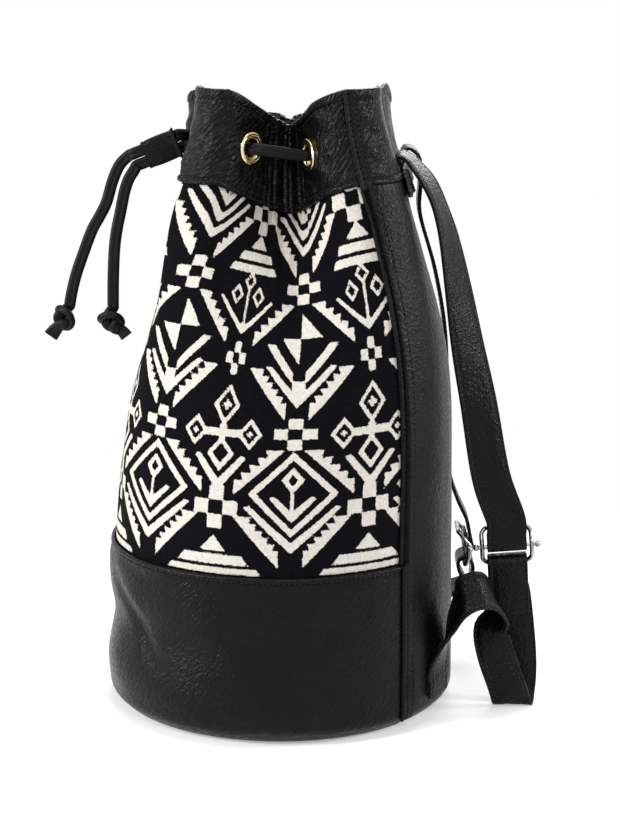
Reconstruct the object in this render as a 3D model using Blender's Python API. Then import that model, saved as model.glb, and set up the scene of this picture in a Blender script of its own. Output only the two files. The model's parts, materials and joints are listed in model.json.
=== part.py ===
"""Drawstring bucket backpack: a round leather foot and band, a woven fabric body with a plain
leather back, a leather collar gathered by a cord through eyelets, and two buckled straps.

Units are metres, +Z is up, and the origin is the middle of the base's underside. The front, where
the cord ends hang, is -Y; the straps and the leather back panel are on +Y. Directions round the
bag are angles u in degrees from +X; heights h run up the material, and equal z away from the folds.
"""

import math

import bmesh
import bpy
import numpy as np
from mathutils import Vector

# Driving sizes of the body
BODY_RADIUS = 0.1085        # cut radius of the cylinder, to the inside face of the skin
FOOT_ROUND = 0.0140         # radius of the rounded bottom edge
RIM_HEIGHT = 0.3976         # height of the mouth at its lobes
WAIST_HEIGHT = 0.3400       # seam between the fabric and the collar
BAND_HEIGHT = 0.1080        # seam between the lower band and the fabric
FOLD_DROP = 0.0260          # how far a fully gathered valley sinks below the lobes
LEAN_BACK = 0.0060          # how far the mouth sits behind the foot
NEAR_TUCK = 0.20            # share by which the rim's +X side draws together
FAR_TUCK = 0.04             # share by which its -X side does

# Skins and seams
CLEARANCE = 0.0003
LEATHER = 0.0018
FABRIC = 0.0016
COLLAR_LEATHER = 0.0024
HEM_EXTRA = 0.0008
HEM_WIDTH = 0.0065
SEAM_LAP = 0.0060
STRIP_WIDTH = 0.0100
STRIP_THICKNESS = 0.0014
SEAM_ANGLE = 45.0
BASE_THICKNESS = 0.0020
BOARD_THICKNESS = 0.0020

# Gathers
PLEAT_DEPTH = 0.0012
PLEAT_PITCH = 6.0
NEAR_VALLEY_ANGLE = 1.5
FRONT_VALLEY_ANGLE = -90.0

# Eyelets and drawcord
EYELET_ANGLES = (-72.0, -22.0, 20.5)
EYELET_HEIGHT = 0.3700
EYELET_OUTER = 0.0100
EYELET_HOLE = 0.0062
EYELET_FLANGE = 0.0013
CORD_WIDTH = 0.0074
CORD_THICKNESS = 0.0040

# Cord slider, along the two cords in front of the collar
SLIDER_START = (0.0, -0.0642, 0.3593)
SLIDER_SLOPE = 22.0
SLIDER_LENGTH = 0.0217
SLIDER_WALL = 0.0010
SLIDER_TAB = 0.0020
SLIDER_TRAVEL_OUT = 0.0040
SLIDER_TRAVEL_IN = 0.0025
CORD_GAP = 0.0003

# Straps and buckles
STRAP_WIDTH = 0.0250
STRAP_THICKNESS = 0.0022
ROOT_ANGLE = 77.5
ROOT_HEIGHT = 0.3455
LOWER_END_ANGLE = 62.0
LOWER_END_HEIGHT = 0.0300
PATCH_HEIGHT = 0.0200
PATCH_THICKNESS = 0.0018
FRAME_WIDTH = 0.0346
FRAME_HEIGHT = 0.0262
FRAME_WIRE = 0.0030
FRAME_BOW = 0.0058
BAR_RADIUS = 0.0013
BAR_PLAY = 0.00010
BALL_RADIUS = 0.0024
LOOP_PLAY = 0.00210

# Small sizes shared by several pieces
SEAM_MARGIN = 0.12          # degrees left open at each side of a seam
BOARD_MARGIN = 0.0020
HOLE_ROWS = 0.0020
EYELET_WALL = 0.0007
WASHER_THICKNESS = 0.0009
STRIP_STEP = 0.0030
FLAT_SHARE = 0.80           # radius of the flat skin under a strap end, as a share of the strap
CORD_STEP = 0.0070
STRAP_STEP = 0.0055
FRAME_CORNER = 0.0050
LEG_EYE = 0.0028
LEG_EXTRA = 0.0011
NEAR_TAIL = 0.0350
FAR_TAIL = 0.0260

# Routes of the free cord ends, chosen by hand, from the slider to the knots
OUTER_ROUTE = (
    (-0.0032, -0.0955, 0.3502), (-0.0042, -0.1010, 0.3445), (-0.0042, -0.1055, 0.3345),
    (-0.0040, -0.1096, 0.3210), (-0.0040, -0.1145, 0.3115), (-0.0040, -0.1190, 0.3035),
    (-0.0040, -0.1245, 0.2895), (-0.0040, -0.1295, 0.2755), (-0.0040, -0.1323, 0.2650),
    (-0.0040, -0.1340, 0.2565),
)
INNER_ROUTE = (
    (0.0032, -0.0912, 0.3424), (0.0044, -0.0946, 0.3370), (0.0046, -0.0974, 0.3290),
    (0.0046, -0.1000, 0.3170), (0.0048, -0.1027, 0.3045), (0.0048, -0.1044, 0.2920),
    (0.0048, -0.1054, 0.2740), (0.0048, -0.1058, 0.2570),
)
OUTER_KNOT = (-0.0040, -0.1369, 0.2479)
OUTER_TAIL = (-0.0040, -0.1467, 0.2357)
INNER_KNOT = (0.0048, -0.1070, 0.2480)
INNER_TAIL = (0.0050, -0.0975, 0.2370)

# Buckles: middle of the bar, direction down the strap, and outwards
NEAR_BUCKLE = ((0.0300, 0.1437, 0.1065), (0.0, 0.07, -0.9975), (1.0, 0.0, 0.0))
FAR_BUCKLE = ((-0.0450, 0.1235, 0.0880), (0.0, 0.213, -0.977), (0.0, 0.977, 0.213))

# Stations of the straps, chosen by hand: a point on the middle line and the direction across
NEAR_UPPER = (
    ((0.0195, 0.0735, 0.3535), (1.00, 0.00, 0.00)),
    ((0.0205, 0.0790, 0.3525), (0.99, -0.08, -0.10)),
    ((0.0225, 0.0850, 0.3465), (0.97, -0.16, -0.16)),
    ((0.0250, 0.0925, 0.3365), (0.95, -0.26, -0.17)),
    ((0.0275, 0.0988, 0.3225), (0.94, -0.32, -0.12)),
    ((0.0300, 0.1045, 0.3030), (0.88, -0.46, -0.10)),
    ((0.0325, 0.1104, 0.2722), (0.75, -0.64, -0.12)),
    ((0.0340, 0.1167, 0.2360), (0.58, -0.80, -0.15)),
    ((0.0345, 0.1240, 0.2000), (0.40, -0.90, -0.18)),
    ((0.0340, 0.1325, 0.1530), (0.20, -0.96, -0.18)),
)
FAR_UPPER_TOP = (
    ((-0.0195, 0.0785, 0.3535), (1.00, 0.00, 0.00)),
    ((-0.0200, 0.0835, 0.3530), (1.00, 0.00, 0.00)),
    ((-0.0205, 0.0875, 0.3485), (1.00, 0.00, 0.00)),
    ((-0.0210, 0.0888, 0.3400), (1.00, 0.00, 0.00)),
    ((-0.0215, 0.0885, 0.3300), (1.00, 0.00, 0.00)),
)
FAR_UPPER_DOWN = ((104.0, 0.312), (106.0, 0.276), (108.0, 0.240), (110.0, 0.205), (111.5, 0.172))
FAR_UPPER_LOW = (
    ((-0.0425, 0.1105, 0.1390), (1.00, 0.00, 0.00)),
    ((-0.0440, 0.1155, 0.1215), (1.00, 0.00, 0.00)),
)
NEAR_LOWER = (
    ((0.0510, 0.1082, 0.0621), (-0.75, 0.10, 0.65)),
    ((0.0594, 0.1148, 0.0806), (-0.45, -0.05, 0.89)),
    ((0.0594, 0.1240, 0.0856), (-0.45, -0.20, 0.87)),
    ((0.0525, 0.1326, 0.0805), (-0.60, -0.30, 0.74)),
    ((0.0438, 0.1381, 0.0656), (-0.90, -0.40, 0.15)),
    ((0.0431, 0.1336, 0.0544), (-0.55, -0.83, -0.05)),
    ((0.0425, 0.1374, 0.0367), (-0.20, -0.97, 0.10)),
    ((0.0368, 0.1446, 0.0153), (-0.10, -0.99, 0.10)),
    ((0.0300, 0.1490, 0.0016), (0.00, -1.00, 0.00)),
    ((0.0240, 0.1510, 0.0048), (0.00, -1.00, 0.00)),
    ((0.0210, 0.1525, 0.0200), (0.00, -1.00, 0.00)),
    ((0.0212, 0.1515, 0.0400), (0.00, -1.00, 0.00)),
    ((0.0216, 0.1480, 0.0700), (0.00, -1.00, 0.00)),
)
FAR_LOWER = (
    ((-0.0505, 0.1062, 0.0430), (0.90, 0.44, 0.00)),
    ((-0.0490, 0.1115, 0.0530), (0.98, 0.20, 0.00)),
)

# Half of the gathered mouth seen from above, from the front valley round by +X to the back, in
# metres: two slopes that carry eyelets at each valley, and a lobe at each corner
MOUTH_HALF = (
    (0.0000, -0.0280), (0.0100, -0.0330), (0.0200, -0.0465), (0.0300, -0.0600),
    (0.0420, -0.0645), (0.0540, -0.0560), (0.0560, -0.0420), (0.0420, -0.0280),
    (0.0240, -0.0110), (0.0160, 0.0000), (0.0220, 0.0080), (0.0380, 0.0155),
    (0.0520, 0.0220), (0.0590, 0.0340), (0.0570, 0.0500), (0.0460, 0.0625),
    (0.0240, 0.0620), (0.0060, 0.0580), (0.0000, 0.0575),
)
MOUTH_DEEPEST = 0.0160
MOUTH_WIDEST = 0.0720

# How far the skin has turned from the round foot's outline to the mouth's, at heights up the bag
GATHER = (
    (0.0600, 0.000), (0.1530, 0.050), (0.2160, 0.165), (0.2640, 0.370),
    (0.3100, 0.660), (0.3400, 0.860), (0.3700, 0.970), (0.3976, 1.000),
)

BLACK = (0.012, 0.012, 0.013)
SOFT_BLACK = (0.018, 0.018, 0.020)
CREAM = (0.70, 0.66, 0.58)
PALE_GOLD = (0.83, 0.69, 0.42)
DARK_NICKEL = (0.30, 0.30, 0.30)


def clear_scene():
    for obj in list(bpy.data.objects):
        bpy.data.objects.remove(obj, do_unlink=True)


def material(name, colour, roughness, metallic=0.0):
    mat = bpy.data.materials.get(name)
    if mat:
        return mat
    mat = bpy.data.materials.new(name)
    mat.use_nodes = True
    shader = mat.node_tree.nodes["Principled BSDF"]
    shader.inputs["Base Color"].default_value = (*colour, 1.0)
    shader.inputs["Roughness"].default_value = roughness
    shader.inputs["Metallic"].default_value = metallic
    return mat


def smooth_step(value, low, high):
    t = min(max((value - low) / (high - low), 0.0), 1.0)
    return t * t * (3.0 - 2.0 * t)


def catmull(points, closed=False, steps=16):
    """Points on a smooth curve through the given ones, with steps of them to each span."""
    pts = [np.array(p, dtype=float) for p in points]
    count = len(pts)
    spans = count if closed else count - 1
    result = []
    for i in range(spans):
        p1 = pts[i]
        p2 = pts[(i + 1) % count]
        p0 = pts[i - 1] if closed or i > 0 else 2 * p1 - p2
        p3 = pts[(i + 2) % count] if closed or i + 2 < count else 2 * p2 - p1
        for k in range(steps):
            t = k / steps
            result.append(0.5 * (2 * p1 + (p2 - p0) * t
                                 + (2 * p0 - 5 * p1 + 4 * p2 - p3) * t * t
                                 + (3 * p1 - p0 - 3 * p2 + p3) * t ** 3))
    if not closed:
        result.append(pts[-1])
    return result


def table_curve(table):
    """A smooth curve through (position, value) pairs, as two arrays for numpy's interp."""
    dense = np.array(catmull(table))
    return dense[:, 0], dense[:, 1]


def mouth_curve():
    """The mouth's half outline with the share of its length at each point."""
    ring = list(MOUTH_HALF) + [(-x, y) for x, y in reversed(MOUTH_HALF[1:-1])]
    steps = 16
    dense = np.array(catmull(ring, closed=True, steps=steps))
    half = dense[:(len(MOUTH_HALF) - 1) * steps + 1]
    lengths = np.concatenate(([0.0], np.cumsum(np.linalg.norm(np.diff(half, axis=0), axis=1))))
    return lengths / lengths[-1], half[:, 0], half[:, 1]


GATHER_AT, GATHER_SHARE = table_curve(GATHER)
MOUTH_SHARE, MOUTH_X, MOUTH_Y = mouth_curve()


def wrap(u):
    """The angle as -90 to 90 on the +X side, and whether it was on the -X side."""
    u = (u + 90.0) % 360.0 - 90.0
    if u > 90.0:
        return 180.0 - u, True
    return u, False


def mouth_point(u):
    angle, mirrored = wrap(u)
    share = (angle + 90.0) / 180.0
    x = float(np.interp(share, MOUTH_SHARE, MOUTH_X))
    y = float(np.interp(share, MOUTH_SHARE, MOUTH_Y))
    return (-x if mirrored else x), y


def gather_share(h):
    return float(np.interp(h, GATHER_AT, GATHER_SHARE))


def pleat(u, h):
    """Small upright gathers in the two side valleys and the front one."""
    angle, _ = wrap(u)
    rise = smooth_step(h, WAIST_HEIGHT - 0.070, WAIST_HEIGHT)
    near = math.cos(math.radians(360.0 * (angle - NEAR_VALLEY_ANGLE) / PLEAT_PITCH))
    near *= 1.0 - smooth_step(abs(angle - NEAR_VALLEY_ANGLE), 6.0, 12.0)
    front = math.cos(math.radians(360.0 * (angle - FRONT_VALLEY_ANGLE) / PLEAT_PITCH))
    front *= 1.0 - smooth_step(abs(angle - FRONT_VALLEY_ANGLE), 5.0, 9.0)
    return PLEAT_DEPTH * rise * (near + front)


def raw_skin(u, h):
    """The inside face of the bag's skin, before it is flattened under the hardware."""
    share = gather_share(h)
    rad = math.radians(u)
    foot = smooth_step(h, 0.0, FOOT_ROUND)
    radius = BODY_RADIUS
    z = h
    if h < FOOT_ROUND:
        turn = math.pi / 2 * (h + FOOT_ROUND) / (2 * FOOT_ROUND)
        radius = BODY_RADIUS - FOOT_ROUND * (1.0 - math.sin(turn))
        z = FOOT_ROUND - FOOT_ROUND * math.cos(turn)
        z += (LEATHER + 3 * CLEARANCE) * (1.0 - foot)
    mx, my = mouth_point(u)
    x = radius * math.cos(rad) * (1.0 - share) + mx * share
    y = radius * math.sin(rad) * (1.0 - share) + my * share
    depth = min(max((MOUTH_WIDEST - math.hypot(mx, my)) / (MOUTH_WIDEST - MOUTH_DEEPEST), 0.0), 1.0)
    tuck_side = smooth_step(x, -0.045, 0.045)
    tuck = (FAR_TUCK + (NEAR_TUCK - FAR_TUCK) * tuck_side) * smooth_step(h, 0.31, RIM_HEIGHT + 0.02)
    y *= 1.0 - tuck
    y += LEAN_BACK * smooth_step(h, 0.08, 0.27)
    z -= FOLD_DROP * depth * share
    return Vector((x, y, z))


def skin_normal(point, u, h, du=0.4, dh=0.0015):
    across = point(u + du, h) - point(u - du, h)
    up = point(u, h + dh) - point(u, h - dh)
    return across.cross(up).normalized()


def flat_spots():
    """Places where the skin lies flat under an eyelet or a sewn strap end."""
    spots = []
    for angle in EYELET_ANGLES:
        for u in (angle, 180.0 - angle):
            spots.append((u, EYELET_HEIGHT, EYELET_OUTER + 0.0025, EYELET_OUTER + 0.0090))
    reach = STRAP_WIDTH * FLAT_SHARE
    for u in (ROOT_ANGLE, 180.0 - ROOT_ANGLE):
        spots.append((u, ROOT_HEIGHT - 0.004, reach, reach + 0.007))
    for u in (LOWER_END_ANGLE, 180.0 - LOWER_END_ANGLE):
        spots.append((u, LOWER_END_HEIGHT, reach, reach + 0.015))
    result = []
    for u, h, inner, outer in spots:
        centre = raw_skin(u, h)
        result.append((u, h, centre, skin_normal(raw_skin, u, h, 3.0, 0.006), inner, outer))
    return result


FLAT_SPOTS = flat_spots()


def skin(u, h):
    point = raw_skin(u, h)
    ripple = pleat(u, h)
    if ripple:
        point = point + skin_normal(raw_skin, u, h) * ripple
    for _, _, centre, normal, inner, outer in FLAT_SPOTS:
        offset = point - centre
        distance = offset.length
        if distance < outer:
            level = 1.0 - smooth_step(distance, inner, outer)
            level *= smooth_step(h, FOOT_ROUND / 2, FOOT_ROUND * 1.6)
            point = point - normal * (offset.dot(normal) * level)
    return point


def skin_at(u, h, offset):
    """A point on the skin, pushed out by the given offset."""
    return skin(u, h) + skin_normal(skin, u, h) * offset


def frame_at(u, h, offset):
    """A point on the skin with its directions round the bag and outwards."""
    normal = skin_normal(skin, u, h)
    across = (skin(u + 1.0, h) - skin(u - 1.0, h)).normalized()
    return skin(u, h) + normal * offset, across, normal


# The columns of the skin between the front valley and the back, in degrees: closer together in
# the gathers, and one at each seam and at both sides of each eyelet
HALF_COLUMNS = (
    -90.0, -87.0, -84.0, -81.0, -72.0, -63.0, -54.0, -45.0, -38.0, -31.0, -22.0, -13.5, -10.5,
    -7.5, -4.5, -1.5, 1.5, 4.5, 7.5, 10.5, 13.0, 20.5, 29.0, 37.0, 45.0, 53.0, 61.0, 69.0, 77.0,
    84.0, 90.0,
)
BODY_ROWS = [0.140, 0.175, 0.205, 0.232, 0.256, 0.278, 0.298, 0.316, 0.330]
ROUND_COLUMNS = 31
RING_COLUMNS = tuple(sorted(set(HALF_COLUMNS) | {180.0 - u for u in HALF_COLUMNS[:-1]}
                            | {u + 360.0 for u in HALF_COLUMNS[1:]}))


def columns_between(first, last, margin):
    """Columns from the first angle to the last, pulled in by the seam margin at both ends."""
    inner = [u for u in RING_COLUMNS if first + 2 * margin < u < last - 2 * margin]
    return [first + margin] + inner + [last - margin]


def new_object(name, bm, mat, smooth_angle=40.0):
    bmesh.ops.recalc_face_normals(bm, faces=bm.faces)
    mesh = bpy.data.meshes.new(name)
    bm.to_mesh(mesh)
    bm.free()
    mesh.materials.append(mat)
    mesh.shade_smooth()
    mesh.set_sharp_from_angle(angle=math.radians(smooth_angle))
    obj = bpy.data.objects.new(name, mesh)
    bpy.context.scene.collection.objects.link(obj)
    return obj


def shell(name, columns, rows, inner, outer, mat):
    """A closed panel that follows the skin, between two offsets that are functions of (u, h)."""
    bm = bmesh.new()
    layers = []
    for offset in (inner, outer):
        layers.append([[bm.verts.new(skin_at(u, h, offset(u, h))) for u in columns] for h in rows])
    last_row = len(rows) - 1
    last_column = len(columns) - 1
    for grid in layers:
        for j in range(last_row):
            for i in range(last_column):
                bm.faces.new((grid[j][i], grid[j][i + 1], grid[j + 1][i + 1], grid[j + 1][i]))
    low, high = layers
    for i in range(last_column):
        bm.faces.new((low[0][i], low[0][i + 1], high[0][i + 1], high[0][i]))
        bm.faces.new((low[last_row][i], low[last_row][i + 1], high[last_row][i + 1],
                      high[last_row][i]))
    for j in range(last_row):
        bm.faces.new((low[j][0], low[j + 1][0], high[j + 1][0], high[j][0]))
        bm.faces.new((low[j][last_column], low[j + 1][last_column], high[j + 1][last_column],
                      high[j][last_column]))
    return new_object(name, bm, mat)


def swept(name, stations, mat, smooth_angle=50.0):
    """A closed solid through a list of rings of points."""
    bm = bmesh.new()
    rings = [[bm.verts.new(p) for p in ring] for ring in stations]
    count = len(rings[0])
    for a, b in zip(rings, rings[1:]):
        for i in range(count):
            k = (i + 1) % count
            bm.faces.new((a[i], a[k], b[k], b[i]))
    bm.faces.new(rings[0])
    bm.faces.new(rings[-1])
    return new_object(name, bm, mat, smooth_angle)


def directions(points):
    """Unit directions along a list of points."""
    result = []
    for i in range(len(points)):
        a = points[max(i - 1, 0)]
        b = points[min(i + 1, len(points) - 1)]
        result.append((b - a).normalized())
    return result


def ribbon_rings(points, widths, thickness, width):
    """Rectangular rings along a strap, from its middle line and its directions across."""
    rings = []
    for p, along, across in zip(points, directions(points), widths):
        side = (across - along * across.dot(along)).normalized() * (width / 2)
        face = along.cross(side).normalized() * (thickness / 2)
        rings.append([p - side - face, p + side - face, p + side + face, p - side + face])
    return rings


def smooth_route(stations, spacing):
    """A smooth curve through hand-chosen stations, with a point at each station and between
    those that lie further apart than the spacing."""
    steps = 12
    dense = catmull(stations, steps=steps)
    chosen = [dense[0]]
    for i in range(len(stations) - 1):
        span = (Vector(stations[i + 1][:3]) - Vector(stations[i][:3])).length
        parts = max(int(round(span / spacing)), 1)
        chosen += [dense[i * steps + round(steps * k / parts)] for k in range(1, parts + 1)]
    return chosen


def oval_ring(centre, side, up, half_width, half_thickness, count=8):
    ring = []
    for k in range(count):
        turn = 2 * math.pi * (k + 0.5) / count
        ring.append(centre + up * (half_width * math.cos(turn)) + side * (half_thickness * math.sin(turn)))
    return ring


def cut(obj, cutter):
    cutter.hide_render = True
    cutter.display_type = "WIRE"
    modifier = obj.modifiers.new("cut", "BOOLEAN")
    modifier.operation = "DIFFERENCE"
    modifier.solver = "EXACT"
    modifier.object = cutter


def rod(name, start, end, radius, count, mat):
    """A plain round rod between two points."""
    along = (end - start).normalized()
    side = along.orthogonal().normalized()
    up = along.cross(side)
    rings = [oval_ring(p, side, up, radius, radius, count) for p in (start, end)]
    return swept(name, rings, mat)


def base_pieces():
    """The round bottom and the stiff board that lies on it."""
    edge = BODY_RADIUS - FOOT_ROUND - 3 * CLEARANCE
    board_foot = BASE_THICKNESS + CLEARANCE
    rod("base_panel", Vector((0, 0, 0)), Vector((0, 0, BASE_THICKNESS)), edge, 48, leather_material())
    rod("base_board", Vector((0, 0, board_foot)), Vector((0, 0, board_foot + BOARD_THICKNESS)),
        edge - BOARD_MARGIN, 48, material("fibre_board", (0.12, 0.10, 0.08), 0.8))


def leather_material():
    return material("black_leather", BLACK, 0.42)


def constant(value):
    return lambda u, h: value


def body_panels():
    """The lower band, the fabric round the sides and front, and the leather back."""
    foot = [-FOOT_ROUND, -FOOT_ROUND / 2, 0.0, FOOT_ROUND / 2, FOOT_ROUND]
    seam = [BAND_HEIGHT - SEAM_LAP, BAND_HEIGHT]
    sewn = [LOWER_END_HEIGHT, LOWER_END_HEIGHT + STRAP_WIDTH * FLAT_SHARE, 0.075]
    inner = constant(CLEARANCE)
    outer = constant(CLEARANCE + LEATHER)
    front = columns_between(180.0 - SEAM_ANGLE, 360.0 + SEAM_ANGLE, SEAM_MARGIN)
    back = columns_between(SEAM_ANGLE, 180.0 - SEAM_ANGLE, SEAM_MARGIN)
    round_front = np.linspace(front[0], front[-1], ROUND_COLUMNS)
    shell("lower_band", round_front, foot + [0.060] + seam, constant(3 * CLEARANCE),
          constant(3 * CLEARANCE + LEATHER), leather_material())
    shell("fabric_panel", front, seam + BODY_ROWS + [WAIST_HEIGHT, WAIST_HEIGHT + SEAM_LAP],
          constant(-FABRIC), constant(0.0), material("woven_fabric", CREAM, 0.85))
    shell("back_panel", back, foot + sewn + seam + BODY_ROWS + [WAIST_HEIGHT - CLEARANCE], inner,
          outer, leather_material())


def collar_outer(u, h):
    """The collar's outer face: a welt along the waist seam and a folded hem at the rim."""
    extra = HEM_EXTRA if h > RIM_HEIGHT - HEM_WIDTH or h < WAIST_HEIGHT + CLEARANCE else 0.0
    return CLEARANCE + COLLAR_LEATHER + extra


def collar():
    """The gathered leather collar in two pieces, with a hole at each eyelet."""
    rows = [WAIST_HEIGHT, WAIST_HEIGHT + SEAM_LAP, EYELET_HEIGHT - EYELET_OUTER - HOLE_ROWS,
            EYELET_HEIGHT, EYELET_HEIGHT + EYELET_OUTER + HOLE_ROWS, RIM_HEIGHT - HEM_WIDTH,
            RIM_HEIGHT - HEM_WIDTH + CLEARANCE, RIM_HEIGHT]
    front = columns_between(180.0 - SEAM_ANGLE, 360.0 + SEAM_ANGLE, SEAM_MARGIN)
    back = columns_between(SEAM_ANGLE, 180.0 - SEAM_ANGLE, SEAM_MARGIN)
    front_piece = shell("collar_front", front, rows, constant(CLEARANCE), collar_outer,
                        leather_material())
    shell("collar_back", back, rows, constant(CLEARANCE), collar_outer, leather_material())
    for number, (centre, across, normal) in enumerate(eyelet_frames()):
        cutter = rod(f"eyelet_cutter_{number}", centre - normal * 0.006, centre + normal * 0.010,
                     EYELET_HOLE + EYELET_WALL + CLEARANCE, 16, leather_material())
        cut(front_piece, cutter)


def strip_offset(u, h):
    """The under face of a seam strip: stepped over the leather on each side of the joint."""
    angle, _ = wrap(u)
    over_leather = 4 * CLEARANCE + LEATHER
    if h > WAIST_HEIGHT - STRIP_STEP:
        return 2 * CLEARANCE + COLLAR_LEATHER + HEM_EXTRA
    if h > BAND_HEIGHT + CLEARANCE and angle < SEAM_ANGLE - 1.0:
        return CLEARANCE
    return over_leather


def seam_strips():
    """A stitched strip over each joint between the fabric and the leather back, foot to rim."""
    rows = [FOOT_ROUND / 2, FOOT_ROUND, LOWER_END_HEIGHT, 0.075, BAND_HEIGHT,
            BAND_HEIGHT + STRIP_STEP] + BODY_ROWS
    rows += [WAIST_HEIGHT - STRIP_STEP, WAIST_HEIGHT - STRIP_STEP / 2, WAIST_HEIGHT + SEAM_LAP,
             EYELET_HEIGHT, RIM_HEIGHT]
    half = math.degrees(STRIP_WIDTH / 2 / BODY_RADIUS)
    spread = (-half, -half * 0.25, half * 0.25, half)
    for name, sign in (("seam_strip_near", 1), ("seam_strip_far", -1)):
        columns = [SEAM_ANGLE + s for s in spread]
        if sign < 0:
            columns = [180.0 - u for u in reversed(columns)]
        shell(name, columns, rows, strip_offset, lambda u, h: strip_offset(u, h) + STRIP_THICKNESS,
              leather_material())


def eyelet_frames():
    frames = []
    for angle in EYELET_ANGLES:
        for u in (angle, 180.0 - angle):
            frames.append(frame_at(u, EYELET_HEIGHT, 0.0))
    return frames


def turned(name, centre, across, normal, profile, count, mat):
    """A ring turned about the normal, from a closed profile of (radius, height) points."""
    up = normal.cross(across)
    bm = bmesh.new()
    rings = []
    for k in range(count):
        turn = 2 * math.pi * k / count
        radial = across * math.cos(turn) + up * math.sin(turn)
        rings.append([bm.verts.new(centre + radial * r + normal * n) for r, n in profile])
    size = len(profile)
    for k in range(count):
        a = rings[k]
        b = rings[(k + 1) % count]
        for i in range(size):
            j = (i + 1) % size
            bm.faces.new((a[i], a[j], b[j], b[i]))
    return new_object(name, bm, mat)


def eyelets():
    """Turned metal eyelets through the collar, each rolled over a washer inside."""
    gold = material("pale_gold", PALE_GOLD, 0.25, 1.0)
    face = 2 * CLEARANCE + COLLAR_LEATHER
    barrel = EYELET_HOLE + EYELET_WALL
    lip = -WASHER_THICKNESS - CLEARANCE
    ring = ((EYELET_OUTER, face), (EYELET_OUTER - 0.0010, face + EYELET_FLANGE),
            (EYELET_HOLE + 0.0012, face + EYELET_FLANGE), (EYELET_HOLE, face + 0.0003),
            (EYELET_HOLE, lip), (EYELET_HOLE + 0.0010, lip - 0.0009), (barrel + 0.0012, lip),
            (barrel, lip), (barrel, face))
    washer = ((barrel + CLEARANCE, 0.0), (EYELET_OUTER - 0.0008, 0.0),
              (EYELET_OUTER - 0.0008, -WASHER_THICKNESS), (barrel + CLEARANCE, -WASHER_THICKNESS))
    for number, (centre, across, normal) in enumerate(eyelet_frames(), 1):
        turned(f"eyelet_{number}", centre, across, normal, ring, 12, gold)
        turned(f"eyelet_washer_{number}", centre, across, normal, washer, 12, gold)


def slider_axes():
    """The slider's start, its direction along the cords, and the direction up across them."""
    turn = math.radians(SLIDER_SLOPE)
    along = Vector((0.0, -math.cos(turn), -math.sin(turn)))
    up = Vector((0.0, -math.sin(turn), math.cos(turn)))
    return Vector(SLIDER_START), along, up


def cord_rings(points, count=8):
    """Oval rings along a flat cord, its width upright."""
    rings = []
    for p, along in zip(points, directions(points)):
        up = Vector((0, 0, 1)) - along * along.z
        up.normalize()
        side = along.cross(up)
        rings.append(oval_ring(p, side, up, CORD_WIDTH / 2, CORD_THICKNESS / 2, count))
    return rings


def cord_leads():
    """The two straight lines of the cords through the slider, upper first."""
    start, along, up = slider_axes()
    half = (CORD_WIDTH + CORD_GAP) / 2
    leads = []
    for side in (1, -1):
        line = [start + up * (half * side) + along * d for d in
                (-SLIDER_TRAVEL_IN - 0.0010, -0.0010, 0.0020, SLIDER_LENGTH / 2, SLIDER_LENGTH,
                 SLIDER_LENGTH + SLIDER_TRAVEL_OUT + CLEARANCE)]
        leads.append(line)
    return leads


def drawcord():
    """The cord where the collar and the slider hold it: in front of the side valleys, behind the
    lobes and the back, and out at the front to the slider."""
    frames = eyelet_frames()
    front_near, front_far, side_near, side_far, back_near, back_far = frames
    upper, lower = cord_leads()

    def through(frame, sign):
        centre, _, normal = frame
        return [centre + normal * (d * sign) for d in (-0.0065, 0.0010, 0.0085)]

    behind = [skin_at(u, EYELET_HEIGHT, -d) for u, d in
              ((34.0, 0.0060), (46.0, 0.0100), (60.0, 0.0055), (76.0, 0.0026), (90.0, 0.0024),
               (104.0, 0.0026), (120.0, 0.0055), (134.0, 0.0100), (146.0, 0.0060))]
    route = list(reversed(lower))
    route += through(front_near, -1)
    route += through(side_near, 1)
    route += through(back_near, -1)
    route += behind
    route += through(back_far, 1)
    route += through(side_far, -1)
    route += through(front_far, 1)
    route += upper
    points = [Vector(p) for p in smooth_route([tuple(p) for p in route], CORD_STEP)]
    swept("drawcord", cord_rings(points), material("cord_leather", SOFT_BLACK, 0.5))


def slider():
    """A folded leather sleeve round the two cords, with its stitched edge on top."""
    start, along, up = slider_axes()
    side = along.cross(up)
    inner_up = CORD_WIDTH + CORD_GAP / 2 + CLEARANCE
    inner_side = CORD_THICKNESS / 2 + CLEARANCE
    outer_up = inner_up + SLIDER_WALL
    outer_side = inner_side + SLIDER_WALL
    outer = [(outer_up + SLIDER_TAB, 0.0008), (outer_up, 0.0010), (outer_up - 0.0006, outer_side * 0.8),
             (outer_up - 0.0030, outer_side), (0.0030 - outer_up, outer_side),
             (-outer_up, outer_side * 0.6)]
    inner = [(inner_up, 0.0004), (inner_up, 0.0010), (inner_up - 0.0004, inner_side * 0.85),
             (inner_up - 0.0020, inner_side), (0.0020 - inner_up, inner_side),
             (-inner_up, inner_side * 0.7)]
    bm = bmesh.new()
    rings = []
    for outline in (outer, inner):
        full = outline + [(a, -b) for a, b in reversed(outline)]
        for distance in (0.0, SLIDER_LENGTH):
            base = start + along * distance
            rings.append([bm.verts.new(base + up * a + side * b) for a, b in full])
    order = (rings[0], rings[1], rings[3], rings[2])
    count = len(order[0])
    for a, b in zip(order, order[1:] + order[:1]):
        for i in range(count):
            k = (i + 1) % count
            bm.faces.new((a[i], a[k], b[k], b[i]))
    new_object("cord_slider", bm, leather_material(), 30.0)


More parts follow.
